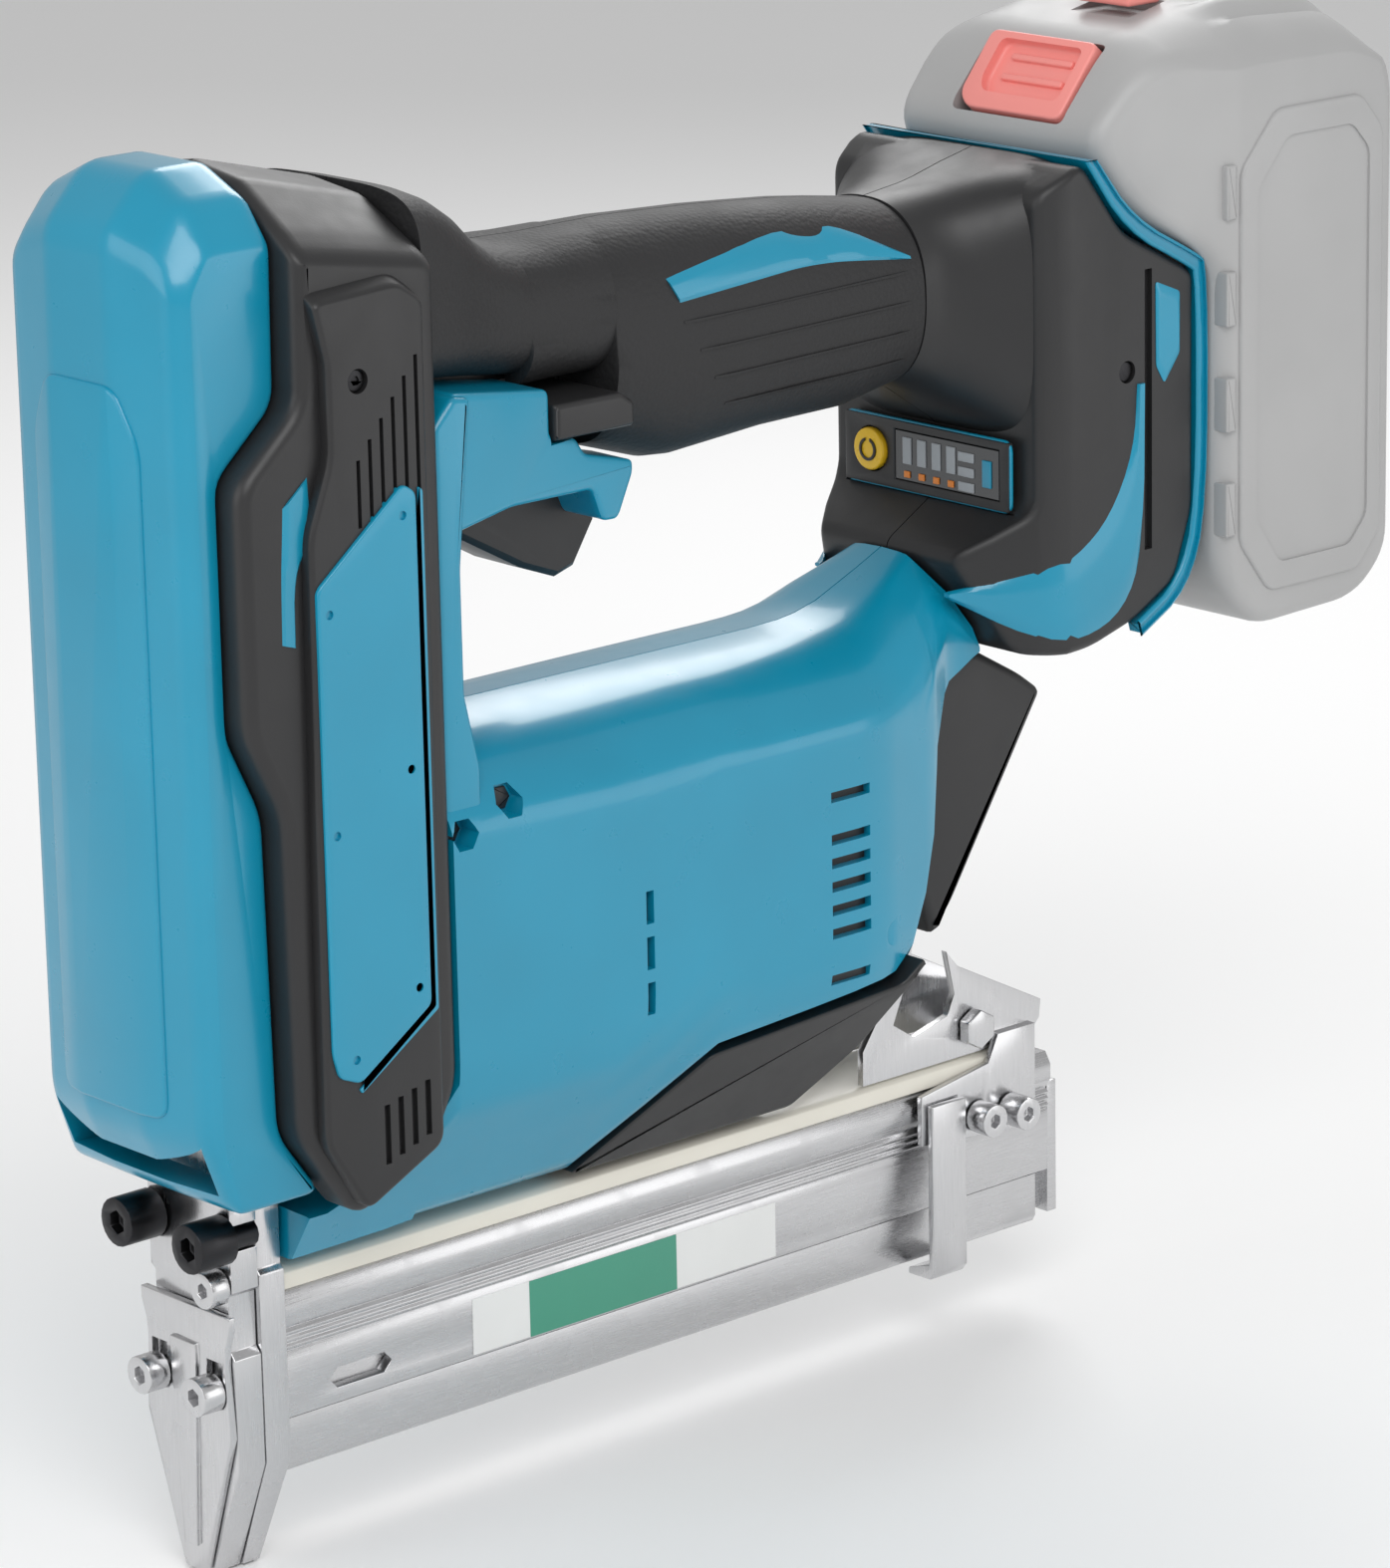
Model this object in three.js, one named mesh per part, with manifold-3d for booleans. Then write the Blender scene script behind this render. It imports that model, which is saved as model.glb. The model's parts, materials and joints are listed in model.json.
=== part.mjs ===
// Cordless brad nailer with its slide-on battery, as an assembly of separate pieces.
// Millimetres. +Z up, +X from the nose towards the battery, -Y the left-hand side.
// The origin is on the nose tip's contact face, on the brad's line.
import * as THREE from "three";
import { mergeVertices } from "three/addons/utils/BufferGeometryUtils.js";
import Module from "manifold-3d";

const wasm = await Module();
wasm.setup();

// Driving dimensions
const GAP = 0.3; // running gap between touching pieces
const WALL = 2.4; // moulded wall
const COVER_HALF = 26.4; // front cover, half its width
const HEAD_HALF = 33; // head shells, outer step
const HEAD_TOP_HALF = 36; // head shells, raised centre
const HOUSING_HALF = 30; // strip in front of the hand window
const MOTOR_HALF = 32.5; // motor housing
const BASE_HALF = 33;
const BATTERY_HALF = 37.5;
const HEAD_TOP = 282;
const STRIKER_TRAVEL = 46;
const PIN_CIRCLE = 10; // lifter pins' circle, which is also the rack's pitch line
const PIN_COUNT = 8;
const PIN_ANGLE = STRIKER_TRAVEL / PIN_CIRCLE / (PIN_COUNT - 1);
const PIN_PITCH = PIN_CIRCLE * PIN_ANGLE;
const MOTOR_Z = 130;
const ROD_X = 2;
const ROD_Y = 14;
const MAG_FRONT = 7.6;
const MAG_REAR = 221;

// Colours
const BLUE = { color: 0x0093b5, roughness: 0.35, metalness: 0 };
const BLACK = { color: 0x2b2b2b, roughness: 0.55, metalness: 0 };
const RUBBER = { color: 0x303030, roughness: 0.75, metalness: 0 };
const STEEL = { color: 0xb8b8ba, roughness: 0.3, metalness: 1 };
const DARK_STEEL = { color: 0x3a3a3c, roughness: 0.35, metalness: 1 };
const ALUMINIUM = { color: 0xa9a9ab, roughness: 0.35, metalness: 1 };
const CREAM = { color: 0xe6e1d2, roughness: 0.45, metalness: 0 };
const GREY = { color: 0xafafaf, roughness: 0.5, metalness: 0 };
const PINK = { color: 0xf59a96, roughness: 0.45, metalness: 0 };
const YELLOW = { color: 0xf2c81e, roughness: 0.4, metalness: 0 };
const BOARD = { color: 0x1f6b45, roughness: 0.5, metalness: 0 };
const WHITE = { color: 0xe8eef0, roughness: 0.4, metalness: 0 };

const nailer = new THREE.Group();
nailer.name = "brad_nailer";

// Geometry helpers ---------------------------------------------------------------------------

function solid(geometry) {
  const bare = geometry.clone();
  bare.deleteAttribute("normal");
  bare.deleteAttribute("uv");
  const merged = mergeVertices(bare, 1e-4);
  return new wasm.Manifold(
    new wasm.Mesh({
      numProp: 3,
      vertProperties: new Float32Array(merged.attributes.position.array),
      triVerts: new Uint32Array(merged.index.array),
    }),
  );
}

function geometryOf(manifold) {
  const mesh = manifold.getMesh();
  const geometry = new THREE.BufferGeometry();
  geometry.setAttribute("position", new THREE.BufferAttribute(mesh.vertProperties, 3));
  geometry.setIndex(new THREE.BufferAttribute(mesh.triVerts, 1));
  geometry.computeVertexNormals();
  return geometry;
}

function add(name, manifold, look) {
  const mesh = new THREE.Mesh(geometryOf(manifold), new THREE.MeshStandardMaterial(look));
  mesh.name = name;
  nailer.add(mesh);
  return mesh;
}

function outline(points, holes = []) {
  const shape = new THREE.Shape(points.map(([u, v]) => new THREE.Vector2(u, v)));
  holes.forEach((hole) => shape.holes.push(new THREE.Path(hole.map(([u, v]) => new THREE.Vector2(u, v)))));
  return shape;
}

// An outline moved outwards by `distance` (inwards when negative), with mitred corners.
function offset(points, distance) {
  if (distance === 0) return points;
  const turn = Math.sign(THREE.ShapeUtils.area(points.map(([x, y]) => ({ x, y }))));
  return points.map(([x, y], i) => {
    const [px, py] = points[(i + points.length - 1) % points.length];
    const [nx, ny] = points[(i + 1) % points.length];
    const before = new THREE.Vector2(y - py, px - x).normalize();
    const after = new THREE.Vector2(ny - y, x - nx).normalize();
    const reach = (turn * distance) / (1 + before.dot(after));
    return [x + reach * (before.x + after.x), y + reach * (before.y + after.y)];
  });
}

// A prism along the local z, its outline moved outwards by `grow`, with both ends chamfered.
function prism(points, depth, { chamfer = 0, grow = 0, holes = [] } = {}) {
  const geometry = new THREE.ExtrudeGeometry(outline(offset(points, grow), holes), {
    depth: depth - 2 * chamfer,
    bevelEnabled: chamfer > 0,
    bevelThickness: chamfer,
    bevelSize: chamfer,
    bevelOffset: -chamfer,
    bevelSegments: 1,
  });
  return geometry.translate(0, 0, chamfer);
}

// Outline in X and Z, extruded from yLow to yHigh.
function sidePrism(points, yLow, yHigh, options) {
  return solid(prism(points, yHigh - yLow, options).rotateX(Math.PI / 2).translate(0, yHigh, 0));
}

// Takes an outline's own x, y and depth to Y, Z and X.
const FRONT_BASIS = new THREE.Matrix4().makeBasis(
  new THREE.Vector3(0, 1, 0),
  new THREE.Vector3(0, 0, 1),
  new THREE.Vector3(1, 0, 0),
);

// Outline in Y and Z, extruded from xLow to xHigh.
function frontPrism(points, xLow, xHigh, options) {
  return solid(prism(points, xHigh - xLow, options).applyMatrix4(FRONT_BASIS).translate(xLow, 0, 0));
}

// Outline in X and Y, extruded from zLow to zHigh.
function topPrism(points, zLow, zHigh, options) {
  return solid(prism(points, zHigh - zLow, options).translate(0, 0, zLow));
}

function box(low, high) {
  const size = high.map((value, axis) => value - low[axis]);
  const centre = high.map((value, axis) => (value + low[axis]) / 2);
  return solid(new THREE.BoxGeometry(...size).translate(...centre));
}

// A cylinder along an axis ("x", "y" or "z") from `from` to `to`, centred at (u, v) in the other two axes.
function rod(axis, radius, from, to, u, v, sides = 20) {
  const geometry = new THREE.CylinderGeometry(radius, radius, to - from, sides);
  const middle = (from + to) / 2;
  if (axis === "x") return solid(geometry.rotateZ(-Math.PI / 2).translate(middle, u, v));
  if (axis === "y") return solid(geometry.translate(u, middle, v));
  return solid(geometry.rotateX(Math.PI / 2).translate(u, v, middle));
}

function mirrored(points) {
  return [...points, ...points.map(([u, v]) => [-u, v]).reverse()];
}

function mirrorY(manifold) {
  return manifold.mirror([0, 1, 0]);
}

// Keeps the part of a two-sided shell on one side of the parting plane.
function half(manifold, side) {
  const reach = 400;
  const cut =
    side < 0
      ? box([-reach, -reach, -reach], [reach, -GAP / 2, reach])
      : box([-reach, GAP / 2, -reach], [reach, reach, reach]);
  return manifold.intersect(cut);
}

function addHalves(name, manifold, look) {
  add("left_" + name, half(manifold, -1), look);
  add("right_" + name, half(manifold, 1), look);
}

// Head ---------------------------------------------------------------------------------------

// The stepped joint line between the front cover and the head shells, from the bottom up.
const JOINT_LINE = [
  [7, 82],
  [-3, 96],
  [-4, 160],
  [-12, 177],
  [-12, 225],
  [2.5, 238],
  [3, HEAD_TOP],
];

function frontCover() {
  const side = [[-15, 82], ...JOINT_LINE, [-13, HEAD_TOP], [-23, 271], [-23, 98]];
  const section = mirrored([[COVER_HALF, 82], [COVER_HALF, 265], [20, 276], [10, HEAD_TOP]]).reverse();
  const plan = [
    [-23, 9], [-23, -9], [-20, -24], [-17, -COVER_HALF],
    [20, -COVER_HALF], [20, COVER_HALF], [-17, COVER_HALF], [-20, 24],
  ];
  const outer = sidePrism(side, -40, 40)
    .intersect(frontPrism(section, -60, 60))
    .intersect(topPrism(plan, 0, 400));
  const behind = sidePrism([[-5, 90], [30, 90], [30, HEAD_TOP - WALL], [-5, HEAD_TOP - WALL]], -40, 40);
  const hollow = [
    [-12, 82 + WALL], ...JOINT_LINE.slice(0, 6).map(([x, z]) => [x + 12, z]), [15, HEAD_TOP - WALL],
    [-12, HEAD_TOP - WALL], [-23 + WALL, 270], [-23 + WALL, 99],
  ];
  const inner = sidePrism(hollow, -40, 40)
    .add(behind)
    .intersect(frontPrism(section, -60, 60, { grow: -WALL }))
    .intersect(topPrism(plan, 0, 400, { grow: -WALL }));
  const noseWay = box([-9, -15, 60], [30, 15, 100]);
  return outer.subtract(inner).subtract(noseWay);
}

add("front_cover", frontCover(), BLUE);

function headShells() {
  const front = JOINT_LINE.slice(1).map(([x, z]) => [x + GAP, z]);
  const side = [[11, 77], [30, 86], [36.7, 99], [36.7, 273.5], ...front.reverse()];
  const section = mirrored([
    [HEAD_TOP_HALF, 70], [HEAD_TOP_HALF, 262], [27, 271], [14, 279.5], [2, 281.5],
  ]).reverse();
  const raised = [
    [8.5, 82.5], [12, 77.8], [29, 88], [31, 96], [31, 266], [24, 274],
    [4, 272], [8, 250], [8, 228], [2, 215], [1, 96],
  ];
  const outer = sidePrism(side, -HEAD_HALF, HEAD_HALF, { chamfer: 5.5 })
    .add(sidePrism(raised, -HEAD_TOP_HALF, HEAD_TOP_HALF, { chamfer: 3 }))
    .intersect(frontPrism(section, -60, 60));
  const inner = sidePrism(side, WALL - HEAD_HALF, HEAD_HALF - WALL, { chamfer: 5.5, grow: -WALL })
    .intersect(frontPrism(section, -60, 60, { grow: -WALL }));
  const frontWay = box([-40, -23.5, 60], [20, 23.5, 275])
    .intersect(frontPrism(section, -60, 60, { grow: -WALL }));
  const gearWay = box([20, -21.5, 108], [40, 21.5, 152]);
  const grooves = Array.from({ length: 6 }, (_, i) => {
    const x = 13.5 + 2.9 * i;
    const low = 214 + 0.6 * i;
    return box([x, -60, low], [x + 0.7, 1 - HEAD_TOP_HALF, 227 + 3.6 * i]);
  });
  const ribs = Array.from({ length: 4 }, (_, i) => {
    const x = 15 + 3.4 * i;
    return box([x, -60, 88 + 1.2 * i], [x + 1.2, 1 - HEAD_TOP_HALF, 100 + 0.9 * i]);
  });
  const inlayPocket = sidePrism(INLAY, -60, 1.2 - HEAD_HALF, { grow: GAP });
  const screwPocket = rod("y", 2.4, -60, 1.2 - HEAD_TOP_HALF, 14.5, 242, 14);
  const panelPocket = sidePrism(PANEL, -60, 1 - HEAD_TOP_HALF, { grow: GAP });
  const left = [...grooves, ...ribs, inlayPocket, screwPocket, panelPocket];
  let shells = outer.subtract(inner).subtract(frontWay).subtract(gearWay);
  left.forEach((cut) => {
    shells = shells.subtract(cut).subtract(mirrorY(cut));
  });
  return shells;
}

// Flag-shaped inlay and the screwed-on side panel, outlines in X and Z.
const INLAY = [[-2, 220], [4, 225], [4.6, 212], [0, 208.5], [0, 193], [-3.2, 194]];
const PANEL = [[24, 221], [27, 219], [27, 118], [9, 106], [4, 108], [2.6, 113], [2.6, 204]];

function sidePanel() {
  const plate = sidePrism(PANEL, 0.6 - HEAD_TOP_HALF - 1.5, 0.7 - HEAD_TOP_HALF, { chamfer: 0.4 });
  const holes = [[23.5, 215], [5.2, 199], [23.7, 165.5], [5.2, 156], [24, 122], [8, 111]];
  return holes.reduce(
    (panel, [x, z]) => panel.subtract(rod("y", 0.9, -60, -HEAD_TOP_HALF - 0.2, x, z, 10)),
    plate,
  );
}

addHalves("head_shell", headShells(), BLACK);
add("left_side_panel", sidePanel(), BLUE);
add("right_side_panel", mirrorY(sidePanel()), BLUE);

// Blue housing halves ------------------------------------------------------------------------

const POD_SECTION = mirrored([
  [14, 64.6], [31, 92], [MOTOR_HALF, 100], [MOTOR_HALF, 150], [24, 159], [12, 164.5],
]).reverse();
const BODY_SIDE = [
  [8, 64.6], [79, 64.6], [107, 87.3], [158, 91.5], [165, 98], [172, 118], [174, 135], [172, 164.5],
  [50, 164.5], [37, 168], [37, 99.3], [31, 86], [12.5, 75.2], [8, 75.2],
];
const ARM_SIDE = [
  [113, 140], [113, 160], [150, 163.5], [165, 167.5], [182, 175.2], [193, 154], [179, 147], [173, 135],
];
const ARM_PLAN = [
  [105, -30], [140, -26], [172, -18], [200, -18], [200, 18], [172, 18], [140, 26], [105, 30],
];
const STRIP_SIDE = [
  [37, 98], [37, 228], [42.5, 233.6], [47, 232.8], [43.6, 200], [43.6, 175], [47, 160], [47, 98],
];
const BRACKET_SIDE = [
  [43, 234], [72, 229.5], [72, 220], [80, 218.5], [83, 214.5], [98, 210.5], [98, 208], [93, 199.5], [88, 200],
  [85, 207], [60, 208.5], [43, 206.5],
];
const BRACKET_PLAN = [
  [40, -HOUSING_HALF], [60, -26.5], [100, -18], [100, 18], [60, 26.5], [40, HOUSING_HALF],
];

function housingSolid(grow) {
  const pod = sidePrism(BODY_SIDE, -40, 40, { grow }).intersect(frontPrism(POD_SECTION, 0, 200, { grow }));
  const arm = sidePrism(ARM_SIDE, -30, 30, { grow }).intersect(topPrism(ARM_PLAN, 100, 200, { grow }));
  return pod.add(arm);
}

function housing() {
  const bracket = sidePrism(BRACKET_SIDE, -40, 40).intersect(topPrism(BRACKET_PLAN, 190, 240));
  const strip = sidePrism(STRIP_SIDE, -HOUSING_HALF, HOUSING_HALF, { chamfer: 1.5 });
  let shell = housingSolid(0).add(strip).subtract(housingSolid(-WALL)).add(bracket);
  const gearWay = box([30, -21.5, 108.5], [45, 21.5, 151.5]);
  const neckWay = box([174, -12, 158], [200, 12, 168]);
  const triggerWay = box([46.5, -10.5, 190], [110, 10.5, 217]);
  const triggerTop = box([46.5, -10.5, 190], [84, 10.5, 250]);
  shell = shell.subtract(gearWay).subtract(neckWay).subtract(triggerWay).subtract(triggerTop);
  const cuts = [
    ...[123.5, 114, 104.5].map((z) => box([86, -60, z - 3.4], [88, -25, z + 3.4])),
    ...[136, 127, 122, 117, 112, 107, 97].map((z) => box([136.5, -60, z - 1.1], [147.5, -25, z + 1.1])),
    rod("y", 3.4, -60, 3 - HOUSING_HALF, 40.2, 148, 6),
    rod("y", 3.4, -60, -27, 53, 152, 6),
    rod("y", 2.6, -60, 1.5 - MOTOR_HALF, 155, 103, 14),
    box([72, -60, 218.4], [94.4, 60, 226.8]),
  ];
  cuts.forEach((cut) => {
    shell = shell.subtract(cut).subtract(mirrorY(cut));
  });
  return shell;
}

addHalves("housing", housing(), BLUE);

function lowerCover() {
  const side = [[80, 64.6], [107.4, 86.8], [158, 91], [164, 96], [160, 88], [153.5, 76], [141, 64.6]];
  return sidePrism(side, -40, 40).intersect(frontPrism(POD_SECTION, 0, 200));
}
add("lower_cover", lowerCover(), BLACK);

// Grip ---------------------------------------------------------------------------------------

const ROOT_SIDE = [
  [37.3, 273.2], [37.3, 234.6], [43, 234.4], [72.3, 229.9], [72.3, 226.8], [94.4, 226.8], [94.4, 211.8],
  [112, 207], [112, 256.3], [69, 256], [62, 260], [54, 266.5], [47, 271],
];
const ROOT_PLAN = [
  [36, -28], [48, -25], [66, -18.5], [112, -18.5], [112, 18.5], [66, 18.5], [48, 25], [36, 28],
];
const ROOT_SECTION = mirrored([[15, 203], [24, 214], [28, 228], [28, 250], [20, 264], [8, 273.5]]).reverse();
const GRIP_SIDE = [
  [66, 255.5], [66, 231.2], [94.5, 226.9], [94.5, 212], [98.8, 211.2], [112, 204.5], [118, 206.3],
  [142, 208], [164, 208.3], [178, 211], [178, 250], [157, 253.3], [132, 255.3], [106, 256.3],
];
const GRIP_SECTION = mirrored([
  [5, 203], [12, 207.5], [17, 217], [18.5, 230], [17, 243], [12, 252], [5, 256.5],
]).reverse();

function gripSolid(grow) {
  const root = sidePrism(ROOT_SIDE, -40, 40, { grow })
    .intersect(topPrism(ROOT_PLAN, 190, 290, { grow }))
    .intersect(frontPrism(ROOT_SECTION, 0, 200, { grow }));
  const bar = sidePrism(GRIP_SIDE, -40, 40, { grow }).intersect(frontPrism(GRIP_SECTION, 0, 200, { grow }));
  return root.subtract(box([84, -60, 0], [200, 60, 400])).add(bar);
}

function grip() {
  const switchWay = box([47.5, -9.5, 200], [90, 9.5, 246]);
  const leverWay = box([72, -60, 218.4], [94.4, 60, 226.8]);
  return gripSolid(0).subtract(gripSolid(-WALL)).subtract(switchWay).subtract(leverWay);
}
addHalves("grip", grip(), RUBBER);

// Trigger, its lock and switch -----------------------------------------------------------------

const TRIGGER_PIVOT = [52, 213];
function trigger() {
  const side = [
    [48, 210], [48, 216], [84, 213], [97, 205], [96.5, 197],
    [91, 188.5], [86, 187], [77, 190.5], [58, 201], [52, 207],
  ];
  const pinHole = rod("y", 1.8, -20, 20, ...TRIGGER_PIVOT, 14);
  const springSeat = rod("z", 3.6, 211, 230, 62, 0, 14);
  return sidePrism(side, -8, 8, { chamfer: 1.2 }).subtract(pinHole).subtract(springSeat);
}
add("trigger", trigger(), BLACK);
add("trigger_pin", rod("y", 1.5, -10.2, 10.2, ...TRIGGER_PIVOT, 14), STEEL);

function coil(radius, wire, turns, from, to, x, y, stepsPerTurn, sides, axis = "z") {
  const points = Array.from({ length: Math.round(turns * stepsPerTurn) + 1 }, (_, i) => {
    const t = i / (turns * stepsPerTurn);
    const angle = 2 * Math.PI * turns * t;
    const along = from + wire + (to - from - 2 * wire) * t;
    const [u, v] = [radius * Math.cos(angle), radius * Math.sin(angle)];
    return axis === "z" ? new THREE.Vector3(x + u, y + v, along) : new THREE.Vector3(along, x + u, y + v);
  });
  const section = outline(
    Array.from({ length: sides }, (_, i) => [
      wire * Math.cos((2 * Math.PI * i) / sides),
      wire * Math.sin((2 * Math.PI * i) / sides),
    ]),
  );
  const path = new THREE.CatmullRomCurve3(points);
  return solid(new THREE.ExtrudeGeometry(section, { steps: points.length - 1, extrudePath: path }));
}
add("trigger_spring", coil(2.4, 0.4, 5, 211.4, 228.6, 62, 0, 8, 4), STEEL);
add("trigger_switch", box([52, -7, 229], [84, 7, 244]), BLACK);

// One bar right through the handle, pushed from either side to lock the trigger.
function lockLever() {
  const side = [[73, 219], [93.6, 219], [93.6, 224], [90, 226.2], [73, 226.2]];
  return sidePrism(side, -24, 24, { chamfer: 0.8 });
}
add("lock_lever", lockLever(), BLACK);

// Base that takes the battery ------------------------------------------------------------------

const TRIM_LINE = [
  [213, 257], [224, 243.3], [242.5, 233.6], [246, 231], [246, 178], [240, 161], [226, 153.5],
];
const TRIM_INNER = [
  [209.5, 257], [221.5, 240.8], [240, 231], [242.6, 229], [242.6, 178.6], [237.2, 163.6], [225, 157],
];
const BASE_SIDE = [
  [198, 250], [198, 183], [203, 158], [212, 154.5], ...TRIM_INNER.map(([x, z]) => [x - GAP, z]).reverse(),
];
const FLARE_SIDE = [[178.3, 250.3], [178.3, 211.3], [187, 206], [202, 200], [202, 256]];
const FLARE_PLAN = [
  [170, -18.5], [182, -20], [192, -26], [198, -31], [203, -BASE_HALF],
  [203, BASE_HALF], [198, 31], [192, 26], [182, 20], [170, 18.5],
];
const NECK_SIDE = [
  [203, 188], [198, 184.5], [182.5, 175.6], [193.5, 154.4], [208, 146], [214, 152], [214, 180],
];

function baseSolid(grow) {
  const block = sidePrism(BASE_SIDE, -BASE_HALF - grow, BASE_HALF + grow, { chamfer: 3, grow });
  const flare = sidePrism(FLARE_SIDE, -40, 40, { grow }).intersect(topPrism(FLARE_PLAN, 150, 300, { grow }));
  const neck = sidePrism(NECK_SIDE, -18 - grow, 18 + grow, { chamfer: 2, grow });
  return block.add(flare).add(neck);
}

function base() {
  const neckWay = box([180, -12, 158], [196, 12, 168]);
  const gripWay = box([170, -13, 215], [190, 13, 246]);
  const panelSeat = box([190, -25.3, 183.4], [197, 25.3, 199.4]);
  const terminalWay = box([236, -15.5, 174], [250, 15.5, 216]);
  let shell = baseSolid(0).subtract(baseSolid(-WALL)).subtract(neckWay).subtract(gripWay).subtract(panelSeat);
  shell = shell.subtract(terminalWay);
  const screwPocket = rod("y", 2.4, -60, 1.2 - BASE_HALF, 222, 211, 14);
  const groove = box([227, -60, 172], [229.6, 1 - BASE_HALF, 232]);
  const left = [screwPocket, groove];
  left.forEach((cut) => {
    shell = shell.subtract(cut).subtract(mirrorY(cut));
  });
  return shell;
}
addHalves("base", base(), BLACK);

function rearTrim() {
  const loop = [...TRIM_INNER, ...[...TRIM_LINE].reverse()];
  const band = sidePrism(loop, -BASE_HALF - 0.8, BASE_HALF + 0.8, { chamfer: 0.6 });
  const inside = box([225, -BASE_HALF + 3, 100], [260, BASE_HALF - 3, 236]);
  return band.subtract(inside);
}
add("rear_trim", rearTrim(), BLUE);

const SWOOSH = [
  [200, 159], [206, 172], [217, 180], [224, 196], [224, 205],
  [226.6, 205], [226.6, 172], [221, 160], [212, 156.5],
];
const swoosh = sidePrism(SWOOSH, -BASE_HALF - 1.3, -BASE_HALF - 0.3, { chamfer: 0.3 });
add("left_swoosh", swoosh, BLUE);
add("right_swoosh", mirrorY(swoosh), BLUE);

function controlPanel() {
  const buttonHole = rod("x", 4.9, 190, 200, 16.5, 191.6, 24);
  const windowHole = box([190, -22, 186], [200, 9.5, 197]);
  return box([195.2, -24.6, 184], [196.7, 24.6, 198.8]).subtract(buttonHole).subtract(windowHole);
}
add("control_panel", controlPanel(), BLACK);
add("power_button", rod("x", 4.6, 194.2, 196, 16.5, 191.6, 24), YELLOW);
add("led_window", box([195.4, -21.7, 186.3], [196.6, 9.2, 196.7]), WHITE);

function rearStrut() {
  const side = [
    [193.4, 153.9], [207.8, 145.6], [214, 141], [187, 99.5],
    [181, 93], [174.5, 112], [174.4, 134.8], [179.4, 146.6],
  ];
  return sidePrism(side, -16, 16, { chamfer: 2 });
}
add("rear_strut", rearStrut(), BLACK);

// Battery --------------------------------------------------------------------------------------

const BATTERY_SIDE = [
  [213.6, 257.4], [217, 262], [231, 279], [237, 284], [262, 286],
  [290, 281], [297, 272], [300, 262], [300, 158],
  [293, 152], [254, 150], [246.4, 160], [246.4, 231.4], [243.2, 234], [224.4, 243.9],
];
function batteryCase() {
  const section = mirrored([
    [30, 148], [BATTERY_HALF, 156], [BATTERY_HALF, 262], [31, 280], [26, 288],
  ]).reverse();
  const body = sidePrism(BATTERY_SIDE, -BATTERY_HALF, BATTERY_HALF, { chamfer: 3 })
    .intersect(frontPrism(section, 200, 310));
  const shoulder = box([200, BATTERY_HALF - 3, 200], [246.4, 60, 300]);
  const pocket = releasePocket(0.3);
  const gauge = box([243.7, -12.3, 281], [254.3, 4.3, 290]);
  return body.subtract(shoulder).subtract(mirrorY(shoulder)).subtract(pocket).subtract(gauge);
}

// A point on the slanted front wall: `along` it from its foot and `inward` from its surface.
function slantPoint(along, inward) {
  const [footX, footZ] = [217, 262];
  const [runX, runZ] = [14, 17];
  const length = Math.hypot(runX, runZ);
  return [
    footX + (runX * along + runZ * inward) / length,
    footZ + (runZ * along - runX * inward) / length,
  ];
}

function slantBlock(start, end, outer, inner, yLow, yHigh) {
  const corners = [[start, outer], [start, inner], [end, inner], [end, outer]];
  return sidePrism(corners.map(([along, inward]) => slantPoint(along, inward)), yLow, yHigh);
}

function releasePocket(grow) {
  return slantBlock(0.4, 20.4, -4, 5.4, -18 - grow, 14 + grow);
}

function releaseButton() {
  return slantBlock(0.7, 20.1, -0.3, 2.9, -18, 14);
}

add("battery_case", batteryCase(), GREY);
add("battery_release", releaseButton(), PINK);
add("gauge_button", box([244, -12, 282.6], [254, 4, 286.2]), PINK);
add("terminal_block", box([239, -11.6, 178.4], [246, 11.6, 211.6]), BLACK);

// Nose -----------------------------------------------------------------------------------------

// Stacked plates: the brads are driven down a channel between the middle and the back plate.
const NOSE_TIP_HALF = 4;

function nosePlate(xLow, xHigh, widths) {
  return frontPrism(mirrored(widths).reverse(), xLow, xHigh);
}
function noseMiddle() {
  const widths = [
    [3.4, 0], [13, 24], [13, 47], [11.6, 48.5], [11.6, 60], [13, 61], [13, 79], [12, 80.5], [12, 95],
  ];
  const holes = [
    ...[8.7, -8.7].map((y) => rod("x", 2.3, -10, 4, y, 40.3, 14)),
    ...[11.3, -11.3].map((y) => rod("x", 3.2, -10, 4, y, 72, 14)),
    rod("x", 1.8, -10, 4, -9.3, 61.8, 12),
  ];
  return holes.reduce((left, hole) => left.subtract(hole), nosePlate(-6, 0.5, widths));
}

function noseBack() {
  const plate = nosePlate(0.8, 7, [[NOSE_TIP_HALF, 0], [13, 24], [13, 63], [12, 64], [12, 95]]);
  const blade = box([0, -2.1, -1], [2.4, 2.1, 100]);
  const feed = box([0, -1, 16], [8, 1, 50]);
  const taper = sidePrism([[7.1, 23], [5, -0.1], [8, -0.1]], -20, 20);
  return plate.subtract(blade).subtract(feed).subtract(taper);
}

function noseFront() {
  const plate = nosePlate(-8, -6.3, [[3.1, 0.5], [13.2, 31], [12.2, 46], [12.6, 50], [14, 54], [14, 56.6]]);
  const rib = frontPrism([[-2, 6], [2, 6], [4, 44], [4, 49], [-4, 49], [-4, 44]], -8.9, -7.5);
  const slots = [8.7, -8.7].map((y) => box([-10, y - 2.4, 37.9], [0, y + 2.4, 46.5]));
  return slots.reduce((left, slot) => left.subtract(slot), plate.add(rib));
}
add("nose_middle_plate", noseMiddle(), STEEL);
add("nose_back_plate", noseBack(), STEEL);
add("nose_front_plate", noseFront(), STEEL);

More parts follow.
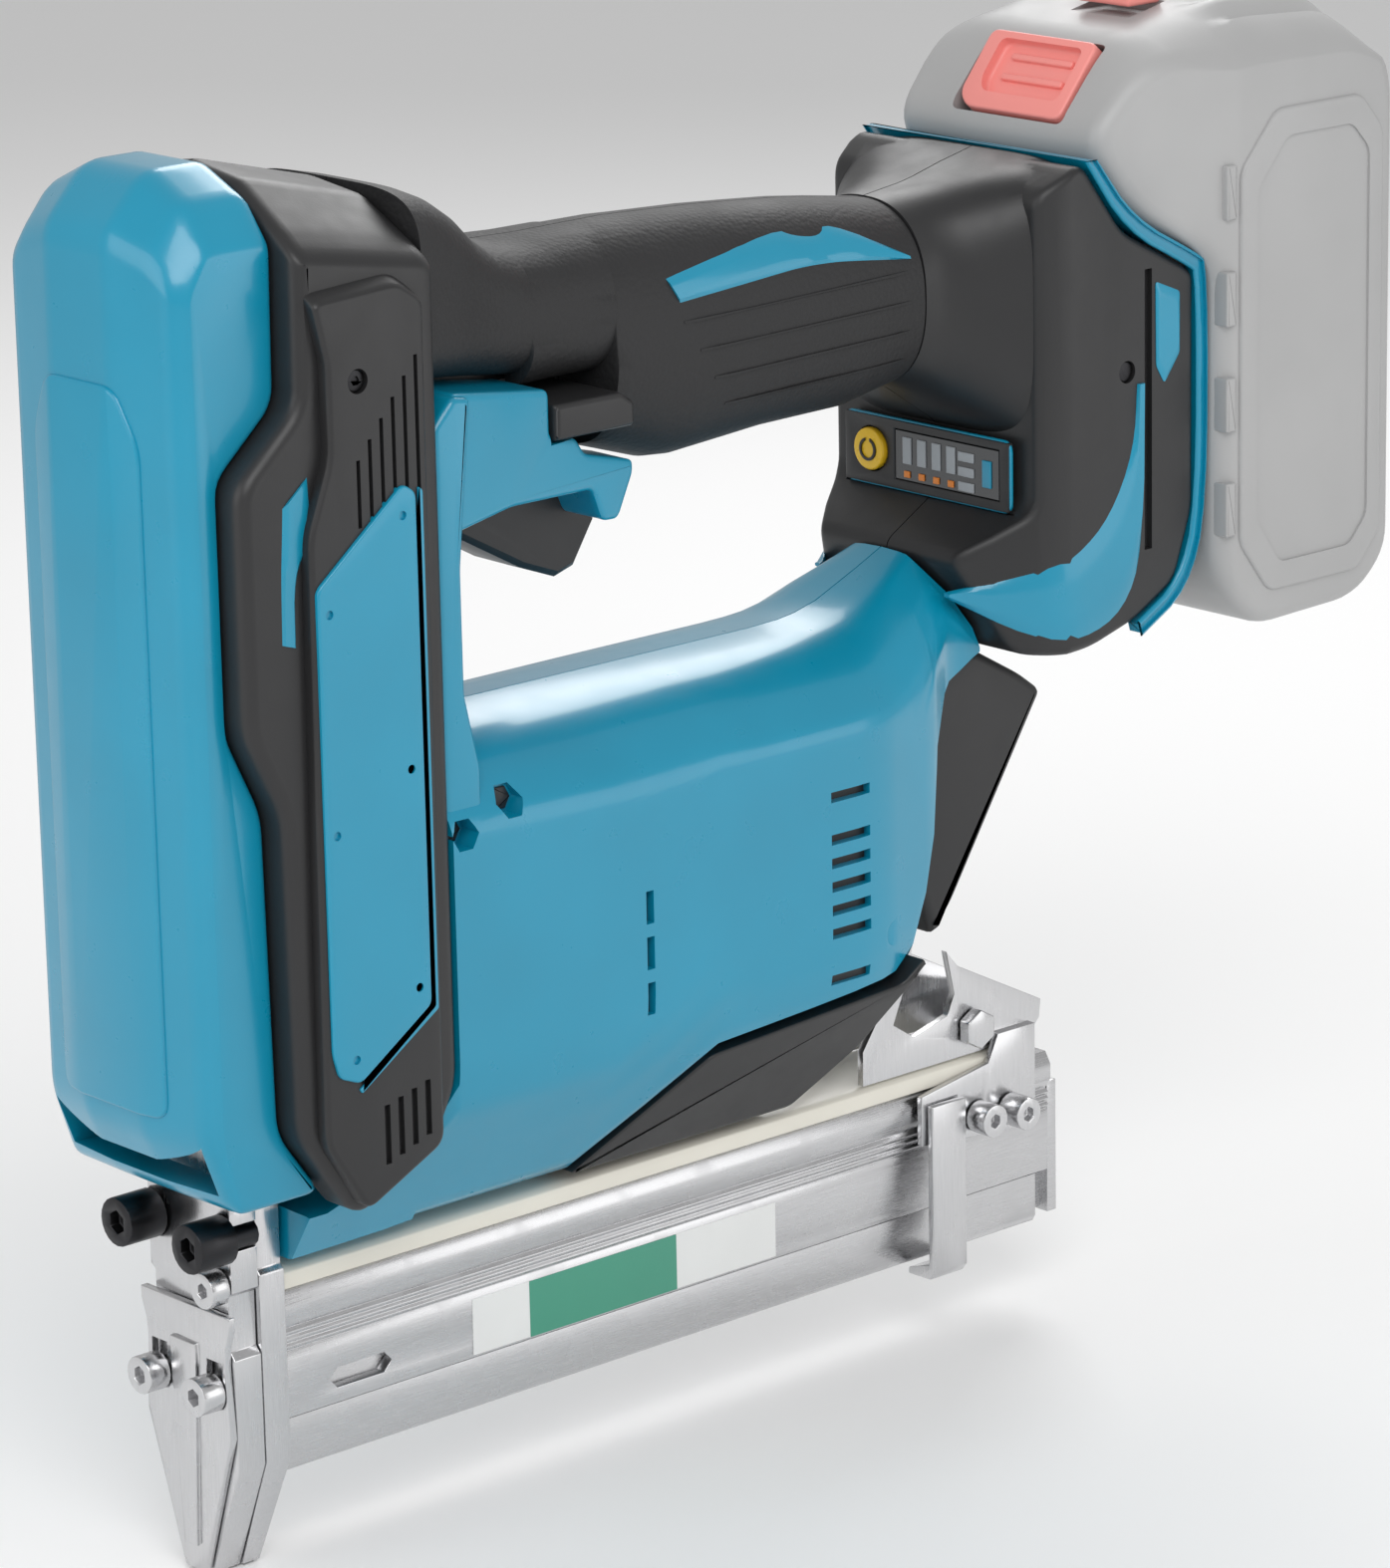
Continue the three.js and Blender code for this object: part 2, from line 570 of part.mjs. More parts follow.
// Socket screw with its axis along x: the head faces the front.
function socketScrew(name, y, z, headFront, headRear, headRadius, shankRadius, shankEnd, socket, look) {
  const hexagon = rod("x", socket, headFront - 1, headFront + 2.5, 0, 0, 6);
  const head = rod("x", headRadius, headFront, headRear, 0, 0, 20).subtract(hexagon);
  const screw = head.add(rod("x", shankRadius, headRear - 0.2, shankEnd, 0, 0, 12));
  const mesh = add(name, screw, look);
  mesh.position.set(0, y, z);
}
socketScrew("left_frame_screw", -11.3, 72, -15.2, -6.3, 5, 2.9, 0.4, 2.5, DARK_STEEL);
socketScrew("right_frame_screw", 11.3, 72, -15.2, -6.3, 5, 2.9, 0.4, 2.5, DARK_STEEL);
socketScrew("left_nose_screw", -8.7, 40.3, -13.3, -8.3, 3.9, 2, 0.4, 1.9, STEEL);
socketScrew("right_nose_screw", 8.7, 40.3, -13.3, -8.3, 3.9, 2, 0.4, 1.9, STEEL);
socketScrew("lock_screw", -9.3, 61.8, -10.6, -6.3, 3.7, 1.5, 0.4, 1.6, STEEL);

// Magazine -------------------------------------------------------------------------------------

function magazineBody() {
  const section = mirrored([
    [9.4, 30], [9.6, 43.5], [9.2, 44.2], [9.9, 45], [9.3, 45.7], [9.9, 46.5],
    [9.3, 47.2], [9.9, 48], [9, 48.8], [10.6, 51], [10.6, 54.5], [9, 57.2],
  ]).reverse();
  const channel = box([0, -6.8, 20], [300, 6.8, 53]);
  const slot = sidePrism([[22, 33.2], [34, 33.2], [36, 35.3], [34, 37.4], [22, 37.4], [20, 35.3]], -20, -6);
  return frontPrism(section, MAG_FRONT, MAG_REAR).subtract(channel).subtract(slot).subtract(mirrorY(slot));
}
const TOP_RAIL_SECTION = [[-11, 57.6], [11, 57.6], [11, 61], [9.5, 62], [-9.5, 62], [-11, 61]];
add("magazine_top_rail", frontPrism(TOP_RAIL_SECTION, 8, 205), CREAM);
add("magazine_body", magazineBody(), ALUMINIUM);

function magazineRail() {
  const section = mirrored([[7.8, 18.6], [8.6, 20], [8.6, 29.6], [6.4, 29.6], [6.4, 48]]).reverse();
  const brads = box([0, -1.4, 20.5], [300, 1.4, 60]);
  const pusherWay = box([0, -4.8, 42], [300, 4.8, 60]);
  const endTab = box([MAG_REAR + GAP, -9, 20], [MAG_REAR + 3, 9, 50]);
  const foot = box([MAG_REAR - 4, -6.4, 20.6], [MAG_REAR + 1, 6.4, 29.6]);
  return frontPrism(section, MAG_FRONT, MAG_REAR - 3)
    .subtract(brads)
    .subtract(pusherWay)
    .add(foot)
    .add(endTab);
}
add("magazine_rail", magazineRail(), ALUMINIUM);
function pusher() {
  return box([9, -4.5, 42.3], [24, 4.5, 51]).add(box([9, -1.1, 21], [22, 1.1, 43]));
}
add("pusher", pusher(), DARK_STEEL);
add("pusher_spring", coil(3.2, 0.45, 16, 24.4, 217.6, 0, 46.7, 7, 4, "x"), STEEL);

// A strap down the left-hand side whose foot hooks under the rail.
function latchClip() {
  const section = [[-15, 17.4], [-15, 55], [-13.4, 55], [-13.4, 19], [-7, 17], [-7, 15.6], [-13.6, 15.6]];
  return frontPrism(section, 181, 191);
}
add("latch_clip", latchClip(), STEEL);
function latchScrew(name, x, z, front) {
  const head = rod("y", 3.6, front, -13.1, 0, 0, 18).subtract(rod("y", 1.6, front - 1, front + 2, 0, 0, 6));
  const mesh = add(name, head.add(rod("y", 1.8, -13.3, -11.2, 0, 0, 10)), STEEL);
  mesh.position.set(x, 0, z);
}
latchScrew("latch_front_screw", 196.5, 49, -18.4);
latchScrew("latch_rear_screw", 206, 48.5, -19);

const BOLT_PLACE = [197, 68.5];

function rearBracket() {
  const side = [
    [165, 62.4], [214, 62.4], [217.5, 66], [218, 70], [193, 83], [186, 91.5], [180.5, 91.5], [165, 70],
  ];
  const notch = [[181, 95], [188, 95], [192, 77], [190, 72.5], [180, 70], [174, 74], [178, 83]];
  const plates = sidePrism(side, -10.6, -8.9).add(sidePrism(side, 8.9, 10.6));
  const bridgeSide = [[208, 62.4], [214, 62.4], [217.5, 66], [218, 70], [213, 72.6], [212, 71]];
  const bridge = sidePrism(bridgeSide, -9.5, 9.5);
  const ear = sidePrism([[180, 46], [214, 43], [214, 66], [203, 66], [200, 60], [180, 57]], -12.8, -11.3)
    .add(box([203, -12.8, 62.8], [214, -10, 66]))
    .subtract(rod("y", 2.2, -20, -11, 196.5, 49, 12))
    .subtract(rod("y", 2.2, -20, -11, 206, 48.5, 12));
  const boltHole = rod("y", 2.6, -20, -5, ...BOLT_PLACE, 14);
  return plates.subtract(sidePrism(notch, -20, 20)).add(bridge).subtract(boltHole).add(ear);
}

function bracketBolt() {
  const head = rod("y", 4.4, -13.8, -10.9, ...BOLT_PLACE, 6);
  return head.add(rod("y", 2.4, -11.2, -7, ...BOLT_PLACE, 12));
}
add("rear_bracket", rearBracket(), STEEL);
add("bracket_bolt", bracketBolt(), STEEL);

// Drive ----------------------------------------------------------------------------------------

const FRAME_BASE_TOP = 99.7;
const FRAME_TOP_LOW = 262;
const CARRIAGE_LOW = 116;
const CARRIAGE_TOP = 130;

function framePlate(zLow, zHigh) {
  const plate = topPrism([[-9, -21], [11, -21], [11, 21], [-9, 21]], zLow, zHigh);
  return plate.subtract(box([0.2, -2.4, zLow - 1], [2.8, 2.4, zHigh + 1]));
}
add("frame_base_plate", framePlate(95.3, FRAME_BASE_TOP), STEEL);
add("frame_top_plate", framePlate(FRAME_TOP_LOW, FRAME_TOP_LOW + 4), STEEL);
[[-1, "left"], [1, "right"]].forEach(([side, label]) => {
  const guide = rod("z", 4, FRAME_BASE_TOP + GAP, FRAME_TOP_LOW - GAP, 0, 0, 16);
  add(label + "_guide_rod", guide, STEEL).position.set(ROD_X, side * ROD_Y, 0);
  const spring = coil(6.2, 1, 9, CARRIAGE_TOP + GAP, FRAME_TOP_LOW - GAP, 0, 0, 9, 5);
  add(label + "_main_spring", spring, DARK_STEEL).position.set(ROD_X, side * ROD_Y, 0);
});
add(
  "bumper",
  box([-8, -21, 100.1], [9.8, 21, CARRIAGE_LOW - GAP])
    .subtract(rod("z", 4.4, 90, 130, ROD_X, ROD_Y, 16))
    .subtract(rod("z", 4.4, 90, 130, ROD_X, -ROD_Y, 16))
    .subtract(box([0.2, -2.4, 90], [2.8, 2.4, 130])),
  RUBBER,
);

// The rack's teeth stand towards the wheel; each lies half a pitch above a pin at rest.
const RACK_BACK = PIN_CIRCLE + 3.2;
function striker() {
  const carriage = box([-7, -21, CARRIAGE_LOW], [9.6, 21, CARRIAGE_TOP])
    .subtract(rod("z", 4.3, 90, 140, ROD_X, ROD_Y, 16))
    .subtract(rod("z", 4.3, 90, 140, ROD_X, -ROD_Y, 16))
    .subtract(box([0.6, -1.9, 100], [2.4, 1.9, 124]));
  const low = MOTOR_Z - STRIKER_TRAVEL - 3;
  const bar = box([12.4, RACK_BACK, low], [19.6, 18.5, MOTOR_Z + 5]);
  const arm = box([9, RACK_BACK, CARRIAGE_LOW], [19.6, 18.5, MOTOR_Z + 5]);
  const highest = MOTOR_Z + PIN_PITCH / 2;
  const teeth = Array.from({ length: PIN_COUNT }, (_, i) => rackTooth(highest - i * PIN_PITCH));
  return teeth.reduce((rack, next) => rack.add(next), carriage.add(bar).add(arm));
}

function rackTooth(z) {
  const [root, tip] = [RACK_BACK + 0.5, PIN_CIRCLE - 0.6];
  return frontPrism([[root, z - 1.3], [root, z + 1.3], [tip, z + 0.6], [tip, z - 0.6]], 12.4, 19.6);
}
add("striker", striker(), STEEL);
add("driver_blade", box([0.9, -1.6, 0.6], [2.1, 1.6, 123.7]), STEEL);

function lifterWheel() {
  const disc = rod("x", 13, 20.2, 25, 0, MOTOR_Z, 28);
  const pins = Array.from({ length: PIN_COUNT }, (_, i) => {
    const angle = -i * PIN_ANGLE;
    const [y, z] = [PIN_CIRCLE * Math.cos(angle), MOTOR_Z + PIN_CIRCLE * Math.sin(angle)];
    return rod("x", 1.6, 13, 20.6, y, z, 10);
  });
  const hub = rod("x", 5, 24.8, 34, 0, MOTOR_Z, 16);
  const bore = rod("x", 3.3, 30, 40, 0, MOTOR_Z, 16);
  return pins.reduce((wheel, pin) => wheel.add(pin), disc.add(hub)).subtract(bore);
}

function gearboxCase() {
  const hubBore = rod("x", 5.4, 35, 40, 0, MOTOR_Z, 16);
  const shaftBore = rod("x", 3, 66, 71, 0, MOTOR_Z, 14);
  return rod("x", 20, 36, 70, 0, MOTOR_Z, 28).subtract(hubBore).subtract(shaftBore);
}

function motorCan() {
  return rod("x", 21, 72, 132, 0, MOTOR_Z, 28).subtract(rod("x", 3, 71, 133, 0, MOTOR_Z, 14));
}

// The shaft carries a cooling fan behind the motor.
function motorShaft() {
  const shaft = rod("x", 2.5, 67, 146, 0, MOTOR_Z, 14);
  const blades = Array.from({ length: 6 }, (_, i) => {
    const blade = new THREE.BoxGeometry(8, 1.4, 15).translate(139, 0, 10.5).rotateX((i * Math.PI) / 3);
    return solid(blade.translate(0, 0, MOTOR_Z));
  });
  return blades.reduce((fan, blade) => fan.add(blade), shaft.add(rod("x", 6, 133, 145, 0, MOTOR_Z, 16)));
}
add("lifter_wheel", lifterWheel(), STEEL);
add("gearbox_case", gearboxCase(), ALUMINIUM);
add("motor_can", motorCan(), DARK_STEEL);
add("motor_shaft", motorShaft(), STEEL);
add("circuit_board", box([206, -24, 176], [207.8, 24, 236]), BOARD);

export default nailer;
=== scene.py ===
"""Finished surfaces and materials for a cordless brad nailer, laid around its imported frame.

Lengths in this file are millimetres, in the frame's axes: +X from the nose to the battery, +Z up, -Y the
left side. Cutters start well outside the shells, at OUTSIDE, so that they open the surface cleanly.
"""

import json
import math

import bmesh
import bpy
import numpy as np
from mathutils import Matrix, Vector


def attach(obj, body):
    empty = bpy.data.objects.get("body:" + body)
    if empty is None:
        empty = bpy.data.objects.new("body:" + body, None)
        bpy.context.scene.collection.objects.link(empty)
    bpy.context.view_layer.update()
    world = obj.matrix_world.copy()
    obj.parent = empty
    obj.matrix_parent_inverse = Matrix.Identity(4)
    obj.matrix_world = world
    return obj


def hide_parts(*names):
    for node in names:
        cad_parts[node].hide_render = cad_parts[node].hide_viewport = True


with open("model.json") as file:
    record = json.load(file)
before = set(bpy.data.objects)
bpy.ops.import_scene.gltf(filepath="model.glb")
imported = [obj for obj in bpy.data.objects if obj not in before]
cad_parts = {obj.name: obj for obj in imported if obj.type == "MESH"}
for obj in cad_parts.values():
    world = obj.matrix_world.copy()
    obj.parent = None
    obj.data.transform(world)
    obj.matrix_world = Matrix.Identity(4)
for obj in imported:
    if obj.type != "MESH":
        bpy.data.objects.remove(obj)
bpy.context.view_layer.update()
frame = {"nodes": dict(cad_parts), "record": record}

bl_info = {
    "name": "Cordless brad nailer",
    "version": (1, 0, 0),
    "blender": (4, 5, 0),
    "location": "View3D > Sidebar > Nailer",
    "description": "Builds the shells, grips, battery and finishes of a cordless brad nailer",
    "category": "Add Mesh",
}

MM = 0.001
PART_GAP = 0.15  # half the parting line between left and right shells
OUTSIDE = -60  # where cutters from the left side start
PAST_MIDDLE = 10  # where cutters of rooms that reach the parting plane end
SHARP_ANGLE = math.radians(32)  # edges turned further than this are drawn sharp
MERGE_DISTANCE = 2e-6  # metres within which points count as one
BODY_OF = {
    node: body for body, nodes in frame["record"]["behaviour"]["bodies"].items() for node in nodes
}
SLOT_OF = {row["node"]: row["material_slot"] for row in frame["record"]["subparts"]}
LOOKS = {}  # the material of each slot, filled by main()


# Settings ---


class NailerSizes(bpy.types.PropertyGroup):
    """Sizes of the finished surfaces, in millimetres unless a unit says otherwise."""

    shell_edge: bpy.props.FloatProperty(
        name="Shell edge", description="Radius rolled round a shell's rim, mm", default=2.2, min=0.3
    )
    metal_edge: bpy.props.FloatProperty(
        name="Metal edge", description="Bevel on the metal parts, mm", default=0.28, min=0.05
    )
    battery_edge: bpy.props.FloatProperty(
        name="Battery edge", description="Radius of the battery's long edges, mm", default=4.0, min=1
    )
    grain: bpy.props.FloatProperty(
        name="Grain", description="Size of the moulded grain", default=0.00045, unit="LENGTH"
    )


class NailerColours(bpy.types.PropertyGroup):
    """Colours of the main finishes."""

    shell: bpy.props.FloatVectorProperty(
        name="Shell", description="Gloss housing", subtype="COLOR", size=3, default=(0.0, 0.270, 0.430)
    )
    dark: bpy.props.FloatVectorProperty(
        name="Dark", description="Black mouldings", subtype="COLOR", size=3, default=(0.018, 0.018, 0.019)
    )
    battery: bpy.props.FloatVectorProperty(
        name="Battery", description="Battery case", subtype="COLOR", size=3, default=(0.41, 0.41, 0.41)
    )
    release: bpy.props.FloatVectorProperty(
        name="Release", description="Battery buttons", subtype="COLOR", size=3, default=(0.90, 0.30, 0.27)
    )


# Shader building ---


class Value:
    """A node's output that can be used in sums: each operator adds one Math node."""

    def __init__(self, shader, socket):
        self.shader = shader
        self.socket = socket

    def math(self, operation, other, swapped=False):
        pair = (other, self) if swapped else (self, other)
        return self.shader.node("Math", {"operation": operation}, {0: pair[0], 1: pair[1]})

    def __add__(self, other):
        return self.math("ADD", other)

    def __sub__(self, other):
        return self.math("SUBTRACT", other)

    def __rsub__(self, other):
        return self.math("SUBTRACT", other, swapped=True)

    def __mul__(self, other):
        return self.math("MULTIPLY", other)

    def above(self, limit, width):
        """0 below the limit, rising to 1 over the width."""
        ends = {"Value": self, "From Min": limit, "From Max": limit + width}
        return self.shader.node("MapRange", {"clamp": True}, ends)


class Shader:
    """A material on the Principled shader, with short calls for the nodes that feed it."""

    def __init__(self, name, **fixed):
        self.material = bpy.data.materials.new(name)
        self.material.use_nodes = True
        self.tree = self.material.node_tree
        self.principled = self.tree.nodes["Principled BSDF"]
        for socket, value in fixed.items():
            self.principled.inputs[socket.replace("_", " ")].default_value = value
        self.place = self.node("TexCoord", {}, {}, "Object")

    def node(self, kind, settings, inputs, output=0):
        made = self.tree.nodes.new("ShaderNode" + kind)
        for key, value in settings.items():
            setattr(made, key, value)
        for socket, value in inputs.items():
            if isinstance(value, Value):
                self.tree.links.new(value.socket, made.inputs[socket])
            else:
                made.inputs[socket].default_value = value
        return Value(self, made.outputs[output])

    def feed(self, socket, value):
        self.tree.links.new(value.socket, self.principled.inputs[socket])

    def noise(self, size, detail=3.0, stretch=(1, 1, 1)):
        """Noise whose lumps are about `size` metres across, drawn out along each axis by `stretch`."""
        scale = [1 / (size * along) for along in stretch]
        spot = self.node("Mapping", {}, {"Vector": self.place, "Scale": scale})
        return self.node("TexNoise", {}, {"Vector": spot, "Scale": 1.0, "Detail": detail}, 0)

    def cells(self, size):
        return self.node("TexVoronoi", {}, {"Vector": self.place, "Scale": 1 / size}, "Distance")

    def tint(self, factor, low, high):
        """A colour between two, by the factor."""
        return self.node("Mix", {"data_type": "RGBA"}, {0: factor, 6: (*low, 1), 7: (*high, 1)}, 2)

    def bump(self, height, distance, strength=0.5):
        inputs = {"Height": height, "Distance": distance, "Strength": strength}
        self.feed("Normal", self.node("Bump", {}, inputs))


def shade(colour, factor):
    return tuple(min(1.0, part * factor) for part in colour)


def moulded(name, colour, roughness, grain, depth, **fixed):
    """Moulded plastic: cloudy colour, roughness that wanders, and a fine spark-eroded grain."""
    made = Shader(name, **fixed)
    cloud = made.noise(0.03, 2.0)
    made.feed("Base Color", made.tint(cloud, shade(colour, 0.90), shade(colour, 1.08)))
    smear = made.noise(0.006, 4.0)
    made.feed("Roughness", smear * 0.14 + (roughness - 0.07))
    made.bump(made.noise(grain, 3.0) * 0.7 + made.noise(grain * 3.1, 2.0) * 0.3, depth, 0.35)
    return made.material


def metal(name, colour, roughness, stretch, depth=0.00002):
    """Ground metal: fine lines drawn out along one axis, with cloudy handling marks."""
    made = Shader(name, Metallic=1.0)
    lines = made.noise(0.00022, 5.0, stretch)
    marks = made.noise(0.009, 5.0)
    mask = marks.above(0.52, 0.12)
    made.feed("Base Color", made.tint(lines, shade(colour, 0.82), shade(colour, 1.10)))
    made.feed("Roughness", lines * 0.18 + mask * 0.10 + (roughness - 0.10))
    made.bump(lines, depth, 0.45)
    return made.material


def rubber(name, colour, cell):
    """Overmoulded grip: a close field of round pips on a soft matt ground."""
    made = Shader(name, Specular_IOR_Level=0.38)
    pips = made.cells(cell)
    worn = made.noise(0.014, 4.0)
    made.feed("Base Color", made.tint(worn, shade(colour, 0.82), shade(colour, 1.35)))
    made.feed("Roughness", worn * 0.16 + 0.50)
    made.bump(1.0 - pips, 0.00016, 0.55)
    return made.material


def painted(name, colour, roughness):
    """Smooth paint over metal, with faint orange peel."""
    made = Shader(name, Coat_Weight=0.25, Coat_Roughness=0.2)
    cloud = made.noise(0.02, 2.0)
    made.feed("Base Color", made.tint(cloud, shade(colour, 0.94), shade(colour, 1.04)))
    made.feed("Roughness", made.noise(0.004, 3.0) * 0.1 + (roughness - 0.05))
    made.bump(made.noise(0.0011, 2.0), 0.00004, 0.4)
    return made.material


def board_mask(name, colour):
    """Solder mask with square-cornered copper areas showing through as paler patches."""
    made = Shader(name, Roughness=0.4)
    spot = made.node("Mapping", {}, {"Vector": made.place, "Scale": (1, 320, 320)})
    tracks = made.node("TexVoronoi", {"distance": "CHEBYCHEV"}, {"Vector": spot, "Scale": 1.0}, "Distance")
    mask = tracks.above(0.36, 0.03)
    made.feed("Base Color", made.tint(mask, colour, shade(colour, 2.4)))
    made.bump(mask, 0.00003, 0.6)
    return made.material


def studio_floor(name):
    made = Shader(name, Roughness=0.75)
    cloud = made.noise(0.5, 2.0)
    made.feed("Base Color", made.tint(cloud, (0.93, 0.93, 0.93), (0.96, 0.96, 0.96)))
    return made.material


def finishes():
    """The material of each slot in the record, and of the small coloured details."""
    colours = bpy.context.scene.nailer_colours
    grain = bpy.context.scene.nailer_sizes.grain
    shell, dark = tuple(colours.shell), tuple(colours.dark)
    along_x, along_z = (30, 1, 1), (1, 1, 30)
    return {
        "blue_plastic": moulded(
            "blue_gloss", shell, 0.30, grain, 0.00002, Coat_Weight=0.45, Coat_Roughness=0.12
        ),
        "black_plastic": moulded("black_grained", dark, 0.42, grain * 1.3, 0.00006),
        "grip_rubber": rubber("grip_rubber_stipple", (0.020, 0.020, 0.021), 0.0011),
        "bright_steel": metal("steel_ground", (0.66, 0.66, 0.67), 0.24, along_z),
        "dark_steel": metal("steel_black_oxide", (0.045, 0.045, 0.048), 0.36, along_x),
        "aluminium": metal("aluminium_drawn", (0.62, 0.62, 0.63), 0.27, along_x),
        "cream_rail": painted("rail_cream", (0.80, 0.77, 0.68), 0.38),
        "battery_grey": moulded("battery_case_grey", tuple(colours.battery), 0.42, grain, 0.00003),
        "release_pink": moulded("battery_button", tuple(colours.release), 0.36, grain, 0.00002),
        "yellow_button": moulded("button_yellow", (0.92, 0.56, 0.02), 0.28, grain, 0.00001),
        "circuit_green": board_mask("solder_mask", (0.012, 0.10, 0.045)),
        "led_clear": moulded("window_smoked", (0.025, 0.028, 0.032), 0.16, grain, 0.00001, Coat_Weight=0.8),
        "light_bar": moulded("light_bar", (0.36, 0.38, 0.40), 0.30, grain, 0.00001),
        "mark_orange": moulded("light_mark", (0.80, 0.24, 0.03), 0.34, grain, 0.00001),
        "label_white": painted("label_ground", (0.78, 0.79, 0.78), 0.42),
        "label_green": painted("label_field", (0.05, 0.30, 0.20), 0.42),
    }


# Shapes ---


def fillet(points, radius, steps=6):
    """The outline with each corner swapped for a parabola that touches both sides `radius` away."""
    corner = np.asarray(points, float)
    before = np.roll(corner, 1, 0) - corner
    after = np.roll(corner, -1, 0) - corner
    length_before = np.linalg.norm(before, axis=1, keepdims=True)
    length_after = np.linalg.norm(after, axis=1, keepdims=True)
    cut = np.minimum(radius, 0.45 * np.minimum(length_before, length_after))
    start = corner + before / length_before * cut
    end = corner + after / length_after * cut
    t = np.linspace(0, 1, steps)[None, :, None]
    arc = (1 - t) ** 2 * start[:, None] + 2 * t * (1 - t) * corner[:, None] + t**2 * end[:, None]
    return arc.reshape(-1, 2)


def inset(ring, distance):
    """Each point moved inwards, square to the line through its two neighbours."""
    along = np.roll(ring, -1, 0) - np.roll(ring, 1, 0)
    x, y = ring.T
    turn = np.sign(np.sum(x * np.roll(y, -1) - np.roll(x, -1) * y))
    normal = np.stack([-along[:, 1], along[:, 0]], 1) * turn
    normal /= np.maximum(np.linalg.norm(normal, axis=1, keepdims=True), 1e-9)
    return ring + normal * distance


AXES = {"x": (2, 0, 1), "y": (0, 2, 1), "z": (0, 1, 2)}


def rolled(edge, end, inwards):
    """Insets and depths of a rim: a quarter circle of its radius, or a single step where it is square."""
    if not edge:
        return [(0, end)]
    quarter = np.linspace(0, math.pi / 2, 5)
    return [(edge * (1 - math.sin(t)), end + inwards * edge * (1 - math.cos(t))) for t in quarter]


def pad_rings(outline, low, high, edges, corner, axis, middle):
    """Rings of an extruded outline; each rim rolls inwards through a quarter circle of its edge radius."""
    ring = fillet(outline, corner)
    low_edge, high_edge = edges
    between = [(0, depth) for depth in np.linspace(low + low_edge, high - high_edge, middle + 2)[1:-1]]
    rolls = rolled(low_edge, low, 1) + between + rolled(high_edge, high, -1)[::-1]
    flat = np.stack([np.column_stack([inset(ring, d), np.full(len(ring), depth)]) for d, depth in rolls])
    return flat[:, :, AXES[axis]]


def skin(name, rings):
    """Joins equal rings into one closed surface with flat caps and makes its faces point outwards."""
    count, around, _ = rings.shape
    index = np.arange(count * around).reshape(count, around)
    near, far = index[:-1], index[1:]
    quads = np.stack([near, np.roll(near, -1, 1), np.roll(far, -1, 1), far], -1).reshape(-1, 4)
    faces = [*quads.tolist(), index[0][::-1].tolist(), index[-1].tolist()]
    mesh = bpy.data.meshes.new(name)
    mesh.from_pydata((rings.reshape(-1, 3) * MM).tolist(), [], faces)
    return tidy(name, mesh)


def tidy(name, mesh):
    """Merges doubled points, turns faces outwards and sets smooth shading with sharp creases."""
    shape = bmesh.new()
    shape.from_mesh(mesh)
    bmesh.ops.remove_doubles(shape, verts=shape.verts, dist=MERGE_DISTANCE)
    bmesh.ops.recalc_face_normals(shape, faces=shape.faces)
    shape.to_mesh(mesh)
    shape.free()
    mesh.shade_smooth()
    mesh.set_sharp_from_angle(angle=SHARP_ANGLE)
    piece = bpy.data.objects.new(name, mesh)
    bpy.context.scene.collection.objects.link(piece)
    return piece


def pad(name, outline, low, high, edge=0.5, corner=1.0, axis="y", middle=0, limit=None, slices=()):
    """A slab with a rounded outline and rolled rims. `limit` may bend its points afterwards; faces are first
    sliced at each (axis, place) in `slices`, where it changes slope, so that their parts stay flat."""
    edges = edge if isinstance(edge, tuple) else (edge, edge)
    piece = skin(name, pad_rings(outline, low, high, edges, corner, axis, middle))
    if limit:
        bend(piece, limit, slices)
    return piece


def bend(piece, limit, slices):
    """Slices a piece along planes, then moves its points by `limit`."""
    shape = bmesh.new()
    shape.from_mesh(piece.data)
    for axis, place_at in slices:
        normal = [float(axis == index) for index in range(3)]
        point = [step * place_at * MM for step in normal]
        everything = [*shape.verts, *shape.edges, *shape.faces]
        bmesh.ops.bisect_plane(shape, geom=everything, dist=1e-6, plane_co=point, plane_no=normal)
    shape.to_mesh(piece.data)
    shape.free()
    points = np.empty(len(piece.data.vertices) * 3)
    piece.data.vertices.foreach_get("co", points)
    points = limit(points.reshape(-1, 3) / MM) * MM
    piece.data.vertices.foreach_set("co", points.ravel())
    piece.data.shade_smooth()
    piece.data.set_sharp_from_angle(angle=SHARP_ANGLE)


def block(name, low, high, edge=0.3, axis="y"):
    """A box given by two corners, with all its edges rounded."""
    u, v = {"x": (1, 2), "y": (0, 2), "z": (0, 1)}[axis]
    outline = [(low[u], low[v]), (high[u], low[v]), (high[u], high[v]), (low[u], high[v])]
    depth = "xyz".index(axis)
    return pad(name, outline, low[depth], high[depth], edge, max(edge, 0.05), axis)


def disc(name, axis, radius, low, high, u, v, edge=0.0, sides=40):
    """A cylinder whose rims are rolled, centred at (u, v) in the other two axes."""
    angle = np.linspace(0, 2 * math.pi, sides, endpoint=False)
    ring = np.column_stack([u + radius * np.cos(angle), v + radius * np.sin(angle)])
    return pad(name, ring, low, high, edge, 0.001, axis)


def eased(line, passes=2):
    """Chaikin's corner cutting: each side gives points a quarter and three quarters along it, and the ends
    stay."""
    points = np.asarray(line, float)
    for _ in range(passes):
        first = 0.75 * points[:-1] + 0.25 * points[1:]
        second = 0.25 * points[:-1] + 0.75 * points[1:]
        pairs = np.stack([first, second], 1).reshape(-1, points.shape[1])
        points = np.concatenate([points[:1], pairs, points[-1:]])
    return points


